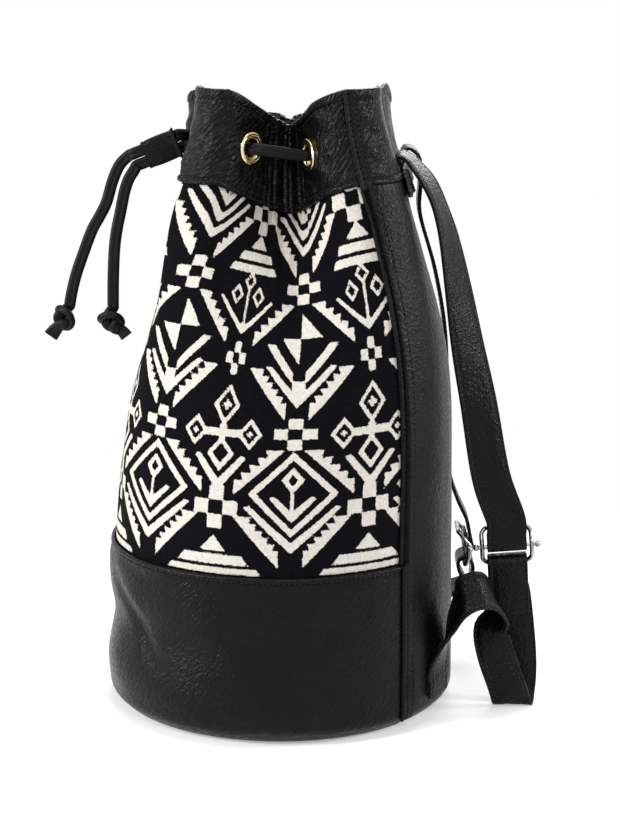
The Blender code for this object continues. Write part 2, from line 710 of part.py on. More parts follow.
def cord_end(name, lead, route):
    """A free end of the cord as a tube on a smooth curve, from the slider to its knot."""
    start, along, _ = slider_axes()
    first = lead + along * CLEARANCE
    points = catmull([tuple(first), tuple(first + along * 0.003)] + list(route), steps=8)
    dense = np.array(points)
    lengths = np.concatenate(([0.0], np.cumsum(np.linalg.norm(np.diff(dense, axis=0), axis=1))))
    count = int(round(lengths[-1] / (2.0 * CORD_WIDTH)))
    straight = CORD_WIDTH / 3
    marks = [0.0, straight] + list(np.linspace(0.0, lengths[-1], count + 1))[1:-1]
    marks += [lengths[-1] - straight, lengths[-1]]
    curve = bpy.data.curves.new(name, "CURVE")
    curve.dimensions = "3D"
    curve.bevel_depth = CORD_WIDTH / 2
    curve.bevel_resolution = 2
    curve.use_fill_caps = True
    spline = curve.splines.new("POLY")
    spline.points.add(len(marks) - 1)
    for point, mark in zip(spline.points, marks):
        point.co = (*[float(np.interp(mark, lengths, dense[:, k])) for k in range(3)], 1.0)
    curve.materials.append(material("cord_leather", SOFT_BLACK, 0.5))
    obj = bpy.data.objects.new(name, curve)
    bpy.context.scene.collection.objects.link(obj)


def knot(name, cord_stop, along, centre, tail_end):
    """An overhand knot at the end of a cord, with its short flat tail."""
    first = cord_stop + along * CLEARANCE
    stations = (
        (first, CORD_WIDTH / 2, CORD_WIDTH / 2), (first.lerp(centre, 0.35), 0.0062, 0.0060),
        (first.lerp(centre, 0.75), 0.0080, 0.0074), (centre.lerp(tail_end, 0.10), 0.0082, 0.0074),
        (centre.lerp(tail_end, 0.32), 0.0066, 0.0060), (centre.lerp(tail_end, 0.48), 0.0042, 0.0028),
        (centre.lerp(tail_end, 0.75), 0.0046, 0.0019), (tail_end, 0.0052, 0.0017),
    )
    points = [s[0] for s in stations]
    rings = []
    ways = directions(points)
    ways[0] = along
    for (p, wide, thick), way in zip(stations, ways):
        flat = Vector((1, 0, 0)).cross(way).normalized()
        rings.append(oval_ring(p, flat.cross(way).normalized(), flat, wide, thick, 10))
    swept(name, rings, material("cord_leather", SOFT_BLACK, 0.5))


def free_cords():
    upper, lower = cord_leads()
    cord_end("cord_end_outer", upper[-1], OUTER_ROUTE)
    cord_end("cord_end_inner", lower[-1], INNER_ROUTE)
    for name, route, centre, tail in (("knot_outer", OUTER_ROUTE, OUTER_KNOT, OUTER_TAIL),
                                      ("knot_inner", INNER_ROUTE, INNER_KNOT, INNER_TAIL)):
        stop = Vector(route[-1])
        knot(name, stop, (stop - Vector(route[-2])).normalized(), Vector(centre), Vector(tail))


def buckle_axes(centre, down, outward):
    """A buckle's middle, with its directions down the strap, outwards and across."""
    down = Vector(down).normalized()
    outward = Vector(outward)
    outward = (outward - down * outward.dot(down)).normalized()
    return Vector(centre), down, outward, outward.cross(down)


def buckle_point(axes, out, drop, across=0.0):
    centre, down, outward, side = axes
    return centre + outward * out + down * drop + side * across


def bow(drop):
    """How far the bowed frame lies behind its bar at a distance down from it."""
    return -FRAME_BOW * (drop / (FRAME_HEIGHT / 2)) ** 2


def frame_outline():
    """The frame's middle line and its outward directions: straight sides with round corners."""
    wide = (FRAME_WIDTH - FRAME_WIRE) / 2
    tall = (FRAME_HEIGHT - FRAME_WIRE) / 2
    quarter = [(wide, 0.0, 1.0, 0.0), (wide, LEG_EYE, 1.0, 0.0)]
    for k in range(5):
        turn = math.pi / 2 * k / 4
        away = (math.cos(turn), math.sin(turn))
        quarter.append((wide - FRAME_CORNER * (1 - away[0]), tall - FRAME_CORNER * (1 - away[1]), *away))
    upper = quarter + [(0.0, tall, 0.0, 1.0)] + [(-x, y, -a, b) for x, y, a, b in reversed(quarter)]
    return upper + [(x, -y, a, -b) for x, y, a, b in reversed(upper[1:-1])]


def buckle_frame(name, axes):
    """A bowed frame with round corners, its two side legs drilled for the bar."""
    metal = material("dark_nickel", DARK_NICKEL, 0.28, 1.0)
    half = FRAME_WIRE / 2
    bm = bmesh.new()
    rings = []
    for x, y, away_x, away_y in frame_outline():
        thick = half + LEG_EXTRA * (1.0 - smooth_step(abs(y), LEG_EYE, 2 * LEG_EYE))
        ring = []
        for edge, level in ((-half, -thick), (half, -thick), (half, thick), (-half, thick)):
            place = buckle_point(axes, bow(y) + level, y + away_y * edge, x + away_x * edge)
            ring.append(bm.verts.new(place))
        rings.append(ring)
    for a, b in zip(rings, rings[1:] + rings[:1]):
        for i in range(4):
            j = (i + 1) % 4
            bm.faces.new((a[i], a[j], b[j], b[i]))
    frame = new_object(name, bm, metal, 30.0)
    reach = FRAME_WIDTH
    cutter = rod(name + "_cutter", buckle_point(axes, 0, 0, -reach), buckle_point(axes, 0, 0, reach),
                 BAR_RADIUS + BAR_PLAY, 16, metal)
    cut(frame, cutter)


def buckle_bar(name, axes):
    """The bar in the upper strap's loop, with a ball on each end outside the frame."""
    metal = material("dark_nickel", DARK_NICKEL, 0.28, 1.0)
    side = axes[3]
    seat = FRAME_WIDTH / 2 + CLEARANCE
    profile = [(seat, BAR_RADIUS), (seat + 0.0006, BALL_RADIUS * 0.8), (seat + 0.0018, BALL_RADIUS),
               (seat + 0.0032, BALL_RADIUS * 0.8), (seat + 0.0040, BALL_RADIUS * 0.35)]
    stations = [(-a, r) for a, r in reversed(profile)] + profile
    seed = side.orthogonal().normalized()
    up = side.cross(seed)
    rings = [oval_ring(buckle_point(axes, 0, 0, a), seed, up, r, r, 16) for a, r in stations]
    swept(name, rings, metal)


def strap(name, stations):
    route = smooth_route([tuple(p) + tuple(w) for p, w in stations], STRAP_STEP)
    points = [Vector(v[:3]) for v in route]
    across = [Vector(v[3:]).normalized() for v in route]
    swept(name, ribbon_rings(points, across, STRAP_THICKNESS, STRAP_WIDTH), leather_material())


def sewn_end(u, heights, offset):
    """Stations of a strap's end that lies flat on the skin."""
    stations = []
    for h in heights:
        point, across, _ = frame_at(u, h, offset + STRAP_THICKNESS / 2)
        stations.append((point, across))
    return stations


def loop_stations(axes):
    """The upper strap's end: down in front of the bar, round it and up behind, ready for sewing."""
    turn = BAR_RADIUS + CLEARANCE + STRAP_THICKNESS / 2
    side = axes[3]
    local = ((turn, -0.018), (turn, -0.008), (turn, 0.0), (turn * 0.7, turn * 0.75), (0.0, turn),
             (-turn * 0.7, turn * 0.75), (-turn, 0.0), (-turn * 0.8, -0.0035), (0.0, -0.0085))
    return [(buckle_point(axes, out, drop), side) for out, drop in local]


def slip_stations(axes, tail_length):
    """The lower strap's end: up behind the frame's lower bar, over it and down in front."""
    side = axes[3]
    lower = (FRAME_HEIGHT - FRAME_WIRE) / 2
    back = bow(lower)
    turn = FRAME_WIRE / 2 + LOOP_PLAY + STRAP_THICKNESS / 2
    local = ((back - turn * 0.75, lower + 0.014), (back - turn, lower + 0.004),
             (back - turn, lower), (back - turn * 0.7, lower - turn * 0.72), (back, lower - turn),
             (back + turn * 0.7, lower - turn * 0.72), (back + turn, lower),
             (back + turn, lower + 0.004), (back + turn * 0.45, lower + 0.014),
             (back + turn * 0.35, lower + tail_length))
    return [(buckle_point(axes, out, drop), side) for out, drop in local]


def straps():
    """Both upper straps with their bars and frames, and both lower straps."""
    near = buckle_axes(*NEAR_BUCKLE)
    far = buckle_axes(*FAR_BUCKLE)
    over_collar = 2 * CLEARANCE + COLLAR_LEATHER + HEM_EXTRA
    over_panel = 4 * CLEARANCE + LEATHER
    root_rows = [ROOT_HEIGHT + d for d in (-0.016, -0.008, 0.0)]
    foot_rows = [LOWER_END_HEIGHT + d for d in (-0.014, -0.004, 0.004)]
    flip = [(p, -w) for p, w in sewn_end(ROOT_ANGLE, root_rows, over_collar)]
    strap("upper_strap_near", flip + list(NEAR_UPPER) + [(p, -s) for p, s in loop_stations(near)])
    far_root = [(p, -w) for p, w in sewn_end(180.0 - ROOT_ANGLE, root_rows, over_collar)]
    far_down = [(skin_at(u, h, 0.0070), Vector((1, 0, 0))) for u, h in FAR_UPPER_DOWN]
    strap("upper_strap_far", far_root + list(FAR_UPPER_TOP) + far_down + list(FAR_UPPER_LOW)
          + [(p, -s) for p, s in loop_stations(far)])
    strap("lower_strap_near", sewn_end(LOWER_END_ANGLE, foot_rows, over_panel) + list(NEAR_LOWER)
          + [(p, -s) for p, s in slip_stations(near, NEAR_TAIL)])
    strap("lower_strap_far", [(p, -w) for p, w in
                              sewn_end(180.0 - LOWER_END_ANGLE, foot_rows, over_panel)]
          + list(FAR_LOWER) + [(p, -s) for p, s in slip_stations(far, FAR_TAIL)])
    for side, axes in (("near", near), ("far", far)):
        buckle_frame(f"buckle_frame_{side}", axes)
        buckle_bar(f"buckle_bar_{side}", axes)


def patch_offset(u, h):
    """The strap patch lies on the collar at its ends and over the straps between them."""
    angle, _ = wrap(u)
    lying = 2 * CLEARANCE + COLLAR_LEATHER + HEM_EXTRA
    edge = ROOT_ANGLE - math.degrees(STRAP_WIDTH / 2 / 0.088)
    return lying + (STRAP_THICKNESS + CLEARANCE) * smooth_step(angle, edge - 3.0, edge - 1.2)


def strap_patch():
    edge = ROOT_ANGLE - math.degrees(STRAP_WIDTH / 2 / 0.088)
    half = [edge - 6.0, edge - 3.0, edge - 1.0, ROOT_ANGLE, 86.0, 90.0]
    columns = half + [180.0 - u for u in reversed(half[:-1])]
    top = ROOT_HEIGHT - 0.0015
    rows = [top - PATCH_HEIGHT + 0.006, top - PATCH_HEIGHT / 2, top]
    shell("strap_patch", columns, rows, patch_offset,
          lambda u, h: patch_offset(u, h) + PATCH_THICKNESS, leather_material())


def main():
    clear_scene()
    base_pieces()
    body_panels()
    collar()
    seam_strips()
    eyelets()
    drawcord()
    slider()
    free_cords()
    straps()
    strap_patch()


main()
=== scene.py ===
"""The looks of a drawstring bucket backpack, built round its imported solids.

The bag's skin is one surface: an angle u in degrees round the bag from +X, and a height h up the
material. Every panel, seam and stitch row is laid on it, so the pieces meet without fitting.
Units are metres, +Z is up and the front, where the cord ends hang, is -Y.
"""

import json
import math

import bpy
import numpy as np
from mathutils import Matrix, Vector

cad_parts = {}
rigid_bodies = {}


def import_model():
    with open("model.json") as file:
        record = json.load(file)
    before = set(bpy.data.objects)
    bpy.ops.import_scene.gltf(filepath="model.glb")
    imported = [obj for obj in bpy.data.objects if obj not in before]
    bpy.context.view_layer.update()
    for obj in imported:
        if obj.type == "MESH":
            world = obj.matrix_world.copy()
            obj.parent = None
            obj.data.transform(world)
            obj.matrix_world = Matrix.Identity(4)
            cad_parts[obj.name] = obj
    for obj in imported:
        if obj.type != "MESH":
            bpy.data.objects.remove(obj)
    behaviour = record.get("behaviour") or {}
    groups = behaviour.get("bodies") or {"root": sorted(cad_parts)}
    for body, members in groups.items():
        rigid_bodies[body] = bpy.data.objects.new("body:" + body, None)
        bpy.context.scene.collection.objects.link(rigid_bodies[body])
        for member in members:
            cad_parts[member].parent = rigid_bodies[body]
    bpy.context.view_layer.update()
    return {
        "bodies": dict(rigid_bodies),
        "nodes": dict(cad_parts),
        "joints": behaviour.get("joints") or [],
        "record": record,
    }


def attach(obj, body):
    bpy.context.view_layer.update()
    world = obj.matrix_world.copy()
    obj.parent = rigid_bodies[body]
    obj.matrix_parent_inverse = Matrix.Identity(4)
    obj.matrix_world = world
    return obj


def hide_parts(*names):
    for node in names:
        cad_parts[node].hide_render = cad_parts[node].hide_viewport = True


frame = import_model()
BAG = "bag"

# Cut sizes of the bag
BODY_RADIUS = 0.1085
FOOT_ROUND = 0.0140
RIM_HEIGHT = 0.3976
WAIST_HEIGHT = 0.3400
BAND_HEIGHT = 0.1080
FOLD_DROP = 0.0260
LEAN_BACK = 0.0060
NEAR_TUCK = 0.20
FAR_TUCK = 0.04
GAP = 0.0003
LEATHER = 0.0018
CLOTH = 0.0016
CLOTH_LOW = 0.1020
CLOTH_TOP = 0.3460
COLLAR_LEATHER = 0.0024
HEM_EXTRA = 0.0008
SEAM_ANGLE = 45.0
SEAM_MARGIN = 0.12
STRIP_HALF = 2.64               # half width of a seam strip, in degrees
FRONT_FIRST = 180.0 - SEAM_ANGLE + SEAM_MARGIN
FRONT_LAST = 360.0 + SEAM_ANGLE - SEAM_MARGIN
BACK_FIRST = SEAM_ANGLE + SEAM_MARGIN
BACK_LAST = 180.0 - SEAM_ANGLE - SEAM_MARGIN
BODY_IN = 3 * GAP                       # how far out the foot's inner face lies
BODY_OUT = BODY_IN + LEATHER            # and each panel's outer face
BACK_OUT = GAP + LEATHER
COLLAR_OUT = GAP + COLLAR_LEATHER
HEM_OUT = COLLAR_OUT + HEM_EXTRA
OVER_BODY = 4 * GAP + LEATHER           # and what is sewn over it
OVER_COLLAR = 2 * GAP + COLLAR_LEATHER
OVER_HEM = OVER_COLLAR + HEM_EXTRA

# Gathers: where the valleys are, and how far each is full and reaches, in degrees
PLEAT_DEPTH = 0.0012
PLEAT_PITCH = 6.0
FINE_PLEAT_DEPTH = 0.0011
FINE_PLEAT_PITCH = 2.9
NEAR_VALLEY_ANGLE = 1.5
FRONT_VALLEY_ANGLE = -90.0
VALLEYS = ((NEAR_VALLEY_ANGLE, 6.0, 12.0), (FRONT_VALLEY_ANGLE, 5.0, 9.0))
BROAD_RISE = 0.070              # how far below the waist the broad and the fine gathers begin
FINE_RISE = 0.022

# Eyelets, cord and slider
EYELET_ANGLES = (-72.0, -22.0, 20.5)
EYELET_HEIGHT = 0.3700
EYELET_OUTER = 0.0100
EYELET_HOLE = 0.0062
EYELET_WALL = 0.0007
WAIST_STITCH = 0.3440           # heights of the collar's two stitch rows
HEM_STITCH = 0.3911
BAND_STITCH = 0.10485           # and of the foot's top edge
EYELET_FLAT = 0.0025            # flat skin round an eyelet, and where it blends out
EYELET_BLEND = 0.0090
CORD_WIDTH = 0.0074
CORD_THICKNESS = 0.0042
CORD_GAP = 0.0003
CORD_JOINT = 0.00002            # between the drawcord and each of its free ends
SLIDER_START = (0.0, -0.0642, 0.3593)
SLIDER_SLOPE = 22.0
SLIDER_LENGTH = 0.0217
SLIDER_TRAVEL_OUT = 0.0040
SLIDER_TRAVEL_IN = 0.0025

# Straps and buckles
STRAP_WIDTH = 0.0250
STRAP_THICKNESS = 0.0022
ROOT_ANGLE = 77.5
ROOT_HEIGHT = 0.3455
LOWER_END_ANGLE = 62.0
LOWER_END_HEIGHT = 0.0300
FLAT_SHARE = 0.80               # of the strap's width, flat skin under its sewn ends
ROOT_BLEND = 0.007
LOWER_END_BLEND = 0.015
FRAME_WIDTH = 0.0346
FRAME_HEIGHT = 0.0262
FRAME_WIRE = 0.0030
FRAME_BOW = 0.0058
FRAME_CORNER = 0.0050
BAR_RADIUS = 0.0013
LOOP_PLAY = 0.00210
NEAR_TAIL = 0.0350
FAR_TAIL = 0.0260
FLOOR_PLAY = 0.0001
PATCH_HEIGHT = 0.0140
PATCH_LEATHER = 0.0018
PATCH_RADIUS = 0.088            # of the collar's back, where the patch and strap roots lie
PATCH_EDGE = ROOT_ANGLE - math.degrees(STRAP_WIDTH / 2 / PATCH_RADIUS)

# Stitches, weave and studio
THREAD = 0.00026
STITCH_PITCH = 0.0032
STITCH_LENGTH = 0.0026
STITCH_INSET = 0.0022           # from a strap's edge
WEAVE_PITCH = 0.00062
WEAVE_BANDS = math.pi / (20.0 * WEAVE_PITCH)
CAMERA_PLACE = (1.5, 0.0186, 0.52)
CAMERA_DOWN = 12.4995           # degrees that it looks down by, along -X
FOCAL_PIXELS = 2400.0           # its focal length, in pixels of a picture this high
PICTURE_HEIGHT = 822.0
SENSOR = 36.0
WORLD_LEVEL = 0.36
FLOOR_GLOW = 0.34
SHADOW_REACH = 0.28

OUTER_ROUTE = (
    (-0.0032, -0.0955, 0.3502), (-0.0042, -0.1010, 0.3445), (-0.0042, -0.1055, 0.3345),
    (-0.0040, -0.1096, 0.3210), (-0.0040, -0.1145, 0.3115), (-0.0040, -0.1190, 0.3035),
    (-0.0040, -0.1245, 0.2895), (-0.0040, -0.1295, 0.2755), (-0.0040, -0.1323, 0.2650),
    (-0.0040, -0.1340, 0.2565),
)
INNER_ROUTE = (
    (0.0032, -0.0912, 0.3424), (0.0044, -0.0946, 0.3370), (0.0046, -0.0974, 0.3290),
    (0.0046, -0.1000, 0.3170), (0.0048, -0.1027, 0.3045), (0.0048, -0.1044, 0.2920),
    (0.0048, -0.1054, 0.2740), (0.0048, -0.1058, 0.2570),
)
OUTER_KNOT = (-0.0040, -0.1369, 0.2479)
OUTER_TAIL = (-0.0040, -0.1467, 0.2357)
INNER_KNOT = (0.0048, -0.1070, 0.2480)
INNER_TAIL = (0.0050, -0.0975, 0.2370)
NEAR_BUCKLE = ((0.0300, 0.1437, 0.1065), (0.0, 0.07, -0.9975), (1.0, 0.0, 0.0))
FAR_BUCKLE = ((-0.0450, 0.1235, 0.0880), (0.0, 0.213, -0.977), (0.0, 0.977, 0.213))
NEAR_UPPER = (
    ((0.0195, 0.0735, 0.3535), (1.00, 0.00, 0.00)),
    ((0.0205, 0.0790, 0.3525), (0.99, -0.08, -0.10)),
    ((0.0225, 0.0850, 0.3465), (0.97, -0.16, -0.16)),
    ((0.0250, 0.0925, 0.3365), (0.95, -0.26, -0.17)),
    ((0.0275, 0.0988, 0.3225), (0.94, -0.32, -0.12)),
    ((0.0300, 0.1045, 0.3030), (0.88, -0.46, -0.10)),
    ((0.0325, 0.1104, 0.2722), (0.75, -0.64, -0.12)),
    ((0.0340, 0.1167, 0.2360), (0.58, -0.80, -0.15)),
    ((0.0345, 0.1240, 0.2000), (0.40, -0.90, -0.18)),
    ((0.0340, 0.1325, 0.1530), (0.20, -0.96, -0.18)),
)
FAR_UPPER_TOP = (
    ((-0.0195, 0.0785, 0.3535), (1.00, 0.00, 0.00)),
    ((-0.0200, 0.0835, 0.3530), (1.00, 0.00, 0.00)),
    ((-0.0205, 0.0875, 0.3485), (1.00, 0.00, 0.00)),
    ((-0.0210, 0.0888, 0.3400), (1.00, 0.00, 0.00)),
    ((-0.0215, 0.0885, 0.3300), (1.00, 0.00, 0.00)),
)
FAR_UPPER_DOWN = ((104.0, 0.312), (106.0, 0.276), (108.0, 0.240), (110.0, 0.205), (111.5, 0.172))
FAR_UPPER_LOW = (
    ((-0.0425, 0.1105, 0.1390), (1.00, 0.00, 0.00)),
    ((-0.0440, 0.1155, 0.1215), (1.00, 0.00, 0.00)),
)
NEAR_LOWER = (
    ((0.0510, 0.1082, 0.0621), (-0.75, 0.10, 0.65)),
    ((0.0594, 0.1148, 0.0806), (-0.45, -0.05, 0.89)),
    ((0.0594, 0.1240, 0.0856), (-0.45, -0.20, 0.87)),
    ((0.0525, 0.1326, 0.0805), (-0.60, -0.30, 0.74)),
    ((0.0438, 0.1381, 0.0656), (-0.90, -0.40, 0.15)),
    ((0.0431, 0.1336, 0.0544), (-0.55, -0.83, -0.05)),
    ((0.0425, 0.1374, 0.0367), (-0.20, -0.97, 0.10)),
    ((0.0368, 0.1446, 0.0153), (-0.10, -0.99, 0.10)),
    ((0.0300, 0.1490, 0.0016), (0.00, -1.00, 0.00)),
    ((0.0240, 0.1510, 0.0048), (0.00, -1.00, 0.00)),
    ((0.0210, 0.1525, 0.0200), (0.00, -1.00, 0.00)),
    ((0.0212, 0.1515, 0.0400), (0.00, -1.00, 0.00)),
    ((0.0216, 0.1480, 0.0700), (0.00, -1.00, 0.00)),
)
NEAR_BOX = (0.0405, 0.1400, 0.0290)
FAR_LOWER = (
    ((-0.0505, 0.1062, 0.0430), (0.90, 0.44, 0.00)),
    ((-0.0490, 0.1115, 0.0530), (0.98, 0.20, 0.00)),
)
MOUTH_HALF = (
    (0.0000, -0.0280), (0.0100, -0.0330), (0.0200, -0.0465), (0.0300, -0.0600),
    (0.0420, -0.0645), (0.0540, -0.0560), (0.0560, -0.0420), (0.0420, -0.0280),
    (0.0240, -0.0110), (0.0160, 0.0000), (0.0220, 0.0080), (0.0380, 0.0155),
    (0.0520, 0.0220), (0.0590, 0.0340), (0.0570, 0.0500), (0.0460, 0.0625),
    (0.0240, 0.0620), (0.0060, 0.0580), (0.0000, 0.0575),
)
FAR_RIM_DROP = 0.0120        # the far side of the mouth sinks as the bag leans open
MOUTH_DEEPEST = 0.0160
MOUTH_WIDEST = 0.0720
GATHER = (
    (0.0600, 0.000), (0.1530, 0.050), (0.2160, 0.165), (0.2640, 0.370),
    (0.3100, 0.660), (0.3400, 0.860), (0.3700, 0.970), (0.3976, 1.000),
)


# The skin, for arrays of u and h

def unit(v):
    return v / np.linalg.norm(v, axis=-1, keepdims=True)


def square_to(wide, along):
    """The part of each direction that is square to another, as a unit vector."""
    return unit(wide - along * np.sum(wide * along, axis=-1, keepdims=True))


def smooth(value, low, high):
    """0 below low and 1 above high, with a soft step between."""
    t = np.clip((value - low) / (high - low), 0.0, 1.0)
    return t * t * (3.0 - 2.0 * t)


def bell(value, centre, reach):
    return np.exp(-((value - centre) / reach) ** 2)


def catmull(points, closed=False, steps=16):
    """A smooth line through points, with the given steps from each to the next."""
    pts = np.array(points, dtype=float)
    count = len(pts)
    result = []
    for i in range(count if closed else count - 1):
        p1 = pts[i]
        p2 = pts[(i + 1) % count]
        p0 = pts[i - 1] if closed or i > 0 else 2 * p1 - p2
        p3 = pts[(i + 2) % count] if closed or i + 2 < count else 2 * p2 - p1
        for k in range(steps):
            t = k / steps
            result.append(0.5 * (2 * p1 + (p2 - p0) * t + (2 * p0 - 5 * p1 + 4 * p2 - p3) * t * t
                                 + (3 * p1 - p0 - 3 * p2 + p3) * t ** 3))
    if not closed:
        result.append(pts[-1])
    return np.array(result)


def run_lengths(points):
    """The length along a polyline at each of its points."""
    return np.concatenate(([0.0], np.cumsum(np.linalg.norm(np.diff(points, axis=0), axis=1))))


def at_marks(marks, lengths, rows):
    """The rows of an array, read at marks along it."""
    return np.stack([np.interp(marks, lengths, column) for column in rows.T], axis=-1)


def evenly(points, spacing):
    """Points on a polyline at even distances."""
    lengths = run_lengths(points)
    marks = np.linspace(0.0, lengths[-1], max(int(round(lengths[-1] / spacing)), 2) + 1)
    return at_marks(marks, lengths, points)


def mouth_curve():
    """The near half of the mouth seen from above, with the share of its length at each point."""
    steps = 16
    ring = list(MOUTH_HALF) + [(-x, y) for x, y in reversed(MOUTH_HALF[1:-1])]
    half = catmull(ring, closed=True, steps=steps)[:(len(MOUTH_HALF) - 1) * steps + 1]
    lengths = run_lengths(half)
    return lengths / lengths[-1], half[:, 0], half[:, 1]


MOUTH_ALONG, MOUTH_X, MOUTH_Y = mouth_curve()
GATHER_CURVE = catmull(GATHER)


def side_angle(u):
    """The angle as -90 to 90, as if it were on the +X side, and whether it is on the -X side."""
    angle = (u + 90.0) % 360.0 - 90.0
    far = angle > 90.0
    return np.where(far, 180.0 - angle, angle), far


def raw_skin(u, h):
    """The skin before its gathers: the round body drawn in to the mouth's curve."""
    u, h = np.broadcast_arrays(np.asarray(u, float), np.asarray(h, float))
    angle, far = side_angle(u)
    along = (angle + 90.0) / 180.0
    mouth_x = np.interp(along, MOUTH_ALONG, MOUTH_X) * np.where(far, -1.0, 1.0)
    mouth_y = np.interp(along, MOUTH_ALONG, MOUTH_Y)
    share = np.interp(h, GATHER_CURVE[:, 0], GATHER_CURVE[:, 1])
    turn = math.pi / 2 * (np.minimum(h, FOOT_ROUND) + FOOT_ROUND) / (2 * FOOT_ROUND)
    radius = BODY_RADIUS - FOOT_ROUND * (1.0 - np.sin(turn))
    foot_z = FOOT_ROUND * (1.0 - np.cos(turn))
    foot_z = foot_z + BODY_OUT * (1.0 - smooth(h, 0.0, FOOT_ROUND))
    depth = (MOUTH_WIDEST - np.hypot(mouth_x, mouth_y)) / (MOUTH_WIDEST - MOUTH_DEEPEST)
    depth = np.clip(depth, 0, 1)
    x = radius * np.cos(np.radians(u)) * (1.0 - share) + mouth_x * share
    y = radius * np.sin(np.radians(u)) * (1.0 - share) + mouth_y * share
    tuck = FAR_TUCK + (NEAR_TUCK - FAR_TUCK) * smooth(x, -0.045, 0.045)
    y = y * (1.0 - tuck * smooth(h, 0.31, RIM_HEIGHT + 0.02)) + LEAN_BACK * smooth(h, 0.08, 0.27)
    z = np.where(h < FOOT_ROUND, foot_z, h) - FOLD_DROP * depth * share
    z = z - FAR_RIM_DROP * smooth(h, 0.350, RIM_HEIGHT) * smooth(-x, 0.020, 0.042)
    return np.stack((x, y, z), axis=-1)


def skin_normal(surface, u, h, du=0.4, dh=0.0015):
    across = surface(u + du, h) - surface(u - du, h)
    up = surface(u, h + dh) - surface(u, h - dh)
    return unit(np.cross(across, up))


def valley(u, centre, near, far):
    """1 at a gathered valley, fading to 0 away from it."""
    angle, _ = side_angle(u)
    return 1.0 - smooth(np.abs(angle - centre), near, far)


def pleats(u, h):
    """Upright gathers: broad ones that run down into the cloth and fine ones in the collar."""
    angle, _ = side_angle(u)
    broad = smooth(h, WAIST_HEIGHT - BROAD_RISE, WAIST_HEIGHT)
    fine = smooth(h, WAIST_HEIGHT - FINE_RISE, WAIST_HEIGHT + 0.004)
    depth = 0.0
    for centre, near, far in VALLEYS:
        turn = np.radians(360.0 * (angle - centre))
        fold = np.cos(turn / PLEAT_PITCH) * valley(u, centre, near, far) * PLEAT_DEPTH * broad
        uneven = 0.75 + 0.25 * np.sin(turn / 11.3 + 40.0 * h)
        small = np.cos(turn / FINE_PLEAT_PITCH + 9.0 * h) * valley(u, centre, near + 3.0, far + 4.0)
        depth = depth + fold + small * FINE_PLEAT_DEPTH * fine * uneven
    return depth


def flat_spots():
    """Where the skin lies flat under an eyelet or a sewn strap end."""
    strap = STRAP_WIDTH * FLAT_SHARE
    places = [(angle, EYELET_HEIGHT, EYELET_OUTER + EYELET_FLAT, EYELET_OUTER + EYELET_BLEND)
              for angle in EYELET_ANGLES]
    places += [(ROOT_ANGLE, ROOT_HEIGHT - 0.004, strap, strap + ROOT_BLEND),
               (LOWER_END_ANGLE, LOWER_END_HEIGHT, strap, strap + LOWER_END_BLEND)]
    return [(raw_skin(u, h), skin_normal(raw_skin, u, h, 3.0, 0.006), inner, outer)
            for angle, h, inner, outer in places for u in (angle, 180.0 - angle)]


FLAT_SPOTS = flat_spots()


def skin(u, h):
    point = raw_skin(u, h) + skin_normal(raw_skin, u, h) * np.expand_dims(pleats(u, h), -1)
    guard = smooth(h, FOOT_ROUND / 2, FOOT_ROUND * 1.6)
    for centre, normal, inner, outer in FLAT_SPOTS:
        offset = point - centre
        level = (1.0 - smooth(np.linalg.norm(offset, axis=-1), inner, outer)) * guard
        point = point - normal * np.expand_dims((offset @ normal) * level, -1)
    return point


def skin_at(u, h, offset):
    """Points on the skin, pushed out by the given offsets."""
    u, h, offset = np.broadcast_arrays(*(np.asarray(v, float) for v in (u, h, offset)))
    return skin(u, h) + skin_normal(skin, u, h) * offset[..., None]


def skin_frame(u, h, offset=0.0):
    """A point over the skin, the direction round the bag and the one straight out."""
    across = skin(u + 1.0, h) - skin(u - 1.0, h)
    return skin_at(u, h, offset), unit(across), skin_normal(skin, np.float64(u), h)


# Meshes

def add_object(name, data):
    obj = bpy.data.objects.new(name, data)
    bpy.context.scene.collection.objects.link(obj)
    return obj


def settle(piece, node, body=BAG):
    """Has a piece stand for its solid and move with a body."""
    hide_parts(node)
    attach(piece, body)


def lay_grid(rows, columns):
    """A piece's lay: its row and column mark at every corner, in metres."""
    return np.stack(np.broadcast_arrays(rows[:, None], columns[None, :]), axis=-1)


def wrapped(marks):
    """Marks with the last one doubled, for the row that closes a lay."""
    return np.append(marks, marks[-1])


def section_lengths(section):
    return run_lengths(np.vstack((section, section[:1])))


def loft(name, rings, uv, materials, closed=False, sharp=40.0, ring_slots=0):
    """A surface through rings of points, capped at both ends where it isn't closed. rings is
    (stations, points round, 3), and uv is (stations + 1, points round + 1, 2), with the extra row
    and column closing the wrap."""
    stations, around = rings.shape[:2]
    spans = stations if closed else stations - 1
    j, i = np.meshgrid(np.arange(spans), np.arange(around), indexing="ij")
    jn = (j + 1) % stations
    ni = (i + 1) % around
    quads = np.stack((j * around + i, j * around + ni, jn * around + ni, jn * around + i), axis=-1)
    faces = quads.reshape(-1, 4).tolist()
    corners = np.stack((uv[j, i], uv[j, i + 1], uv[j + 1, i + 1], uv[j + 1, i]), axis=2)
    coords = corners.reshape(-1, 2)
    slots = np.broadcast_to(ring_slots, (spans, around)).ravel()
    if not closed:
        last = spans * around
        faces += [list(range(around))[::-1], list(range(last, last + around))]
        coords = np.concatenate((coords, uv[0, :around][::-1], uv[spans, :around]))
        slots = np.append(slots, (0, 0))
    mesh = bpy.data.meshes.new(name)
    mesh.from_pydata(rings.reshape(-1, 3).tolist(), [], faces)
    for finish in materials:
        mesh.materials.append(finish)
    mesh.polygons.foreach_set("material_index", slots.astype(np.int32))
    layer = mesh.uv_layers.new(name="Lay")
    layer.data.foreach_set("uv", coords.astype(np.float32).ravel())
    mesh.shade_smooth()
    mesh.set_sharp_from_angle(angle=math.radians(sharp))
    return add_object(name, mesh)


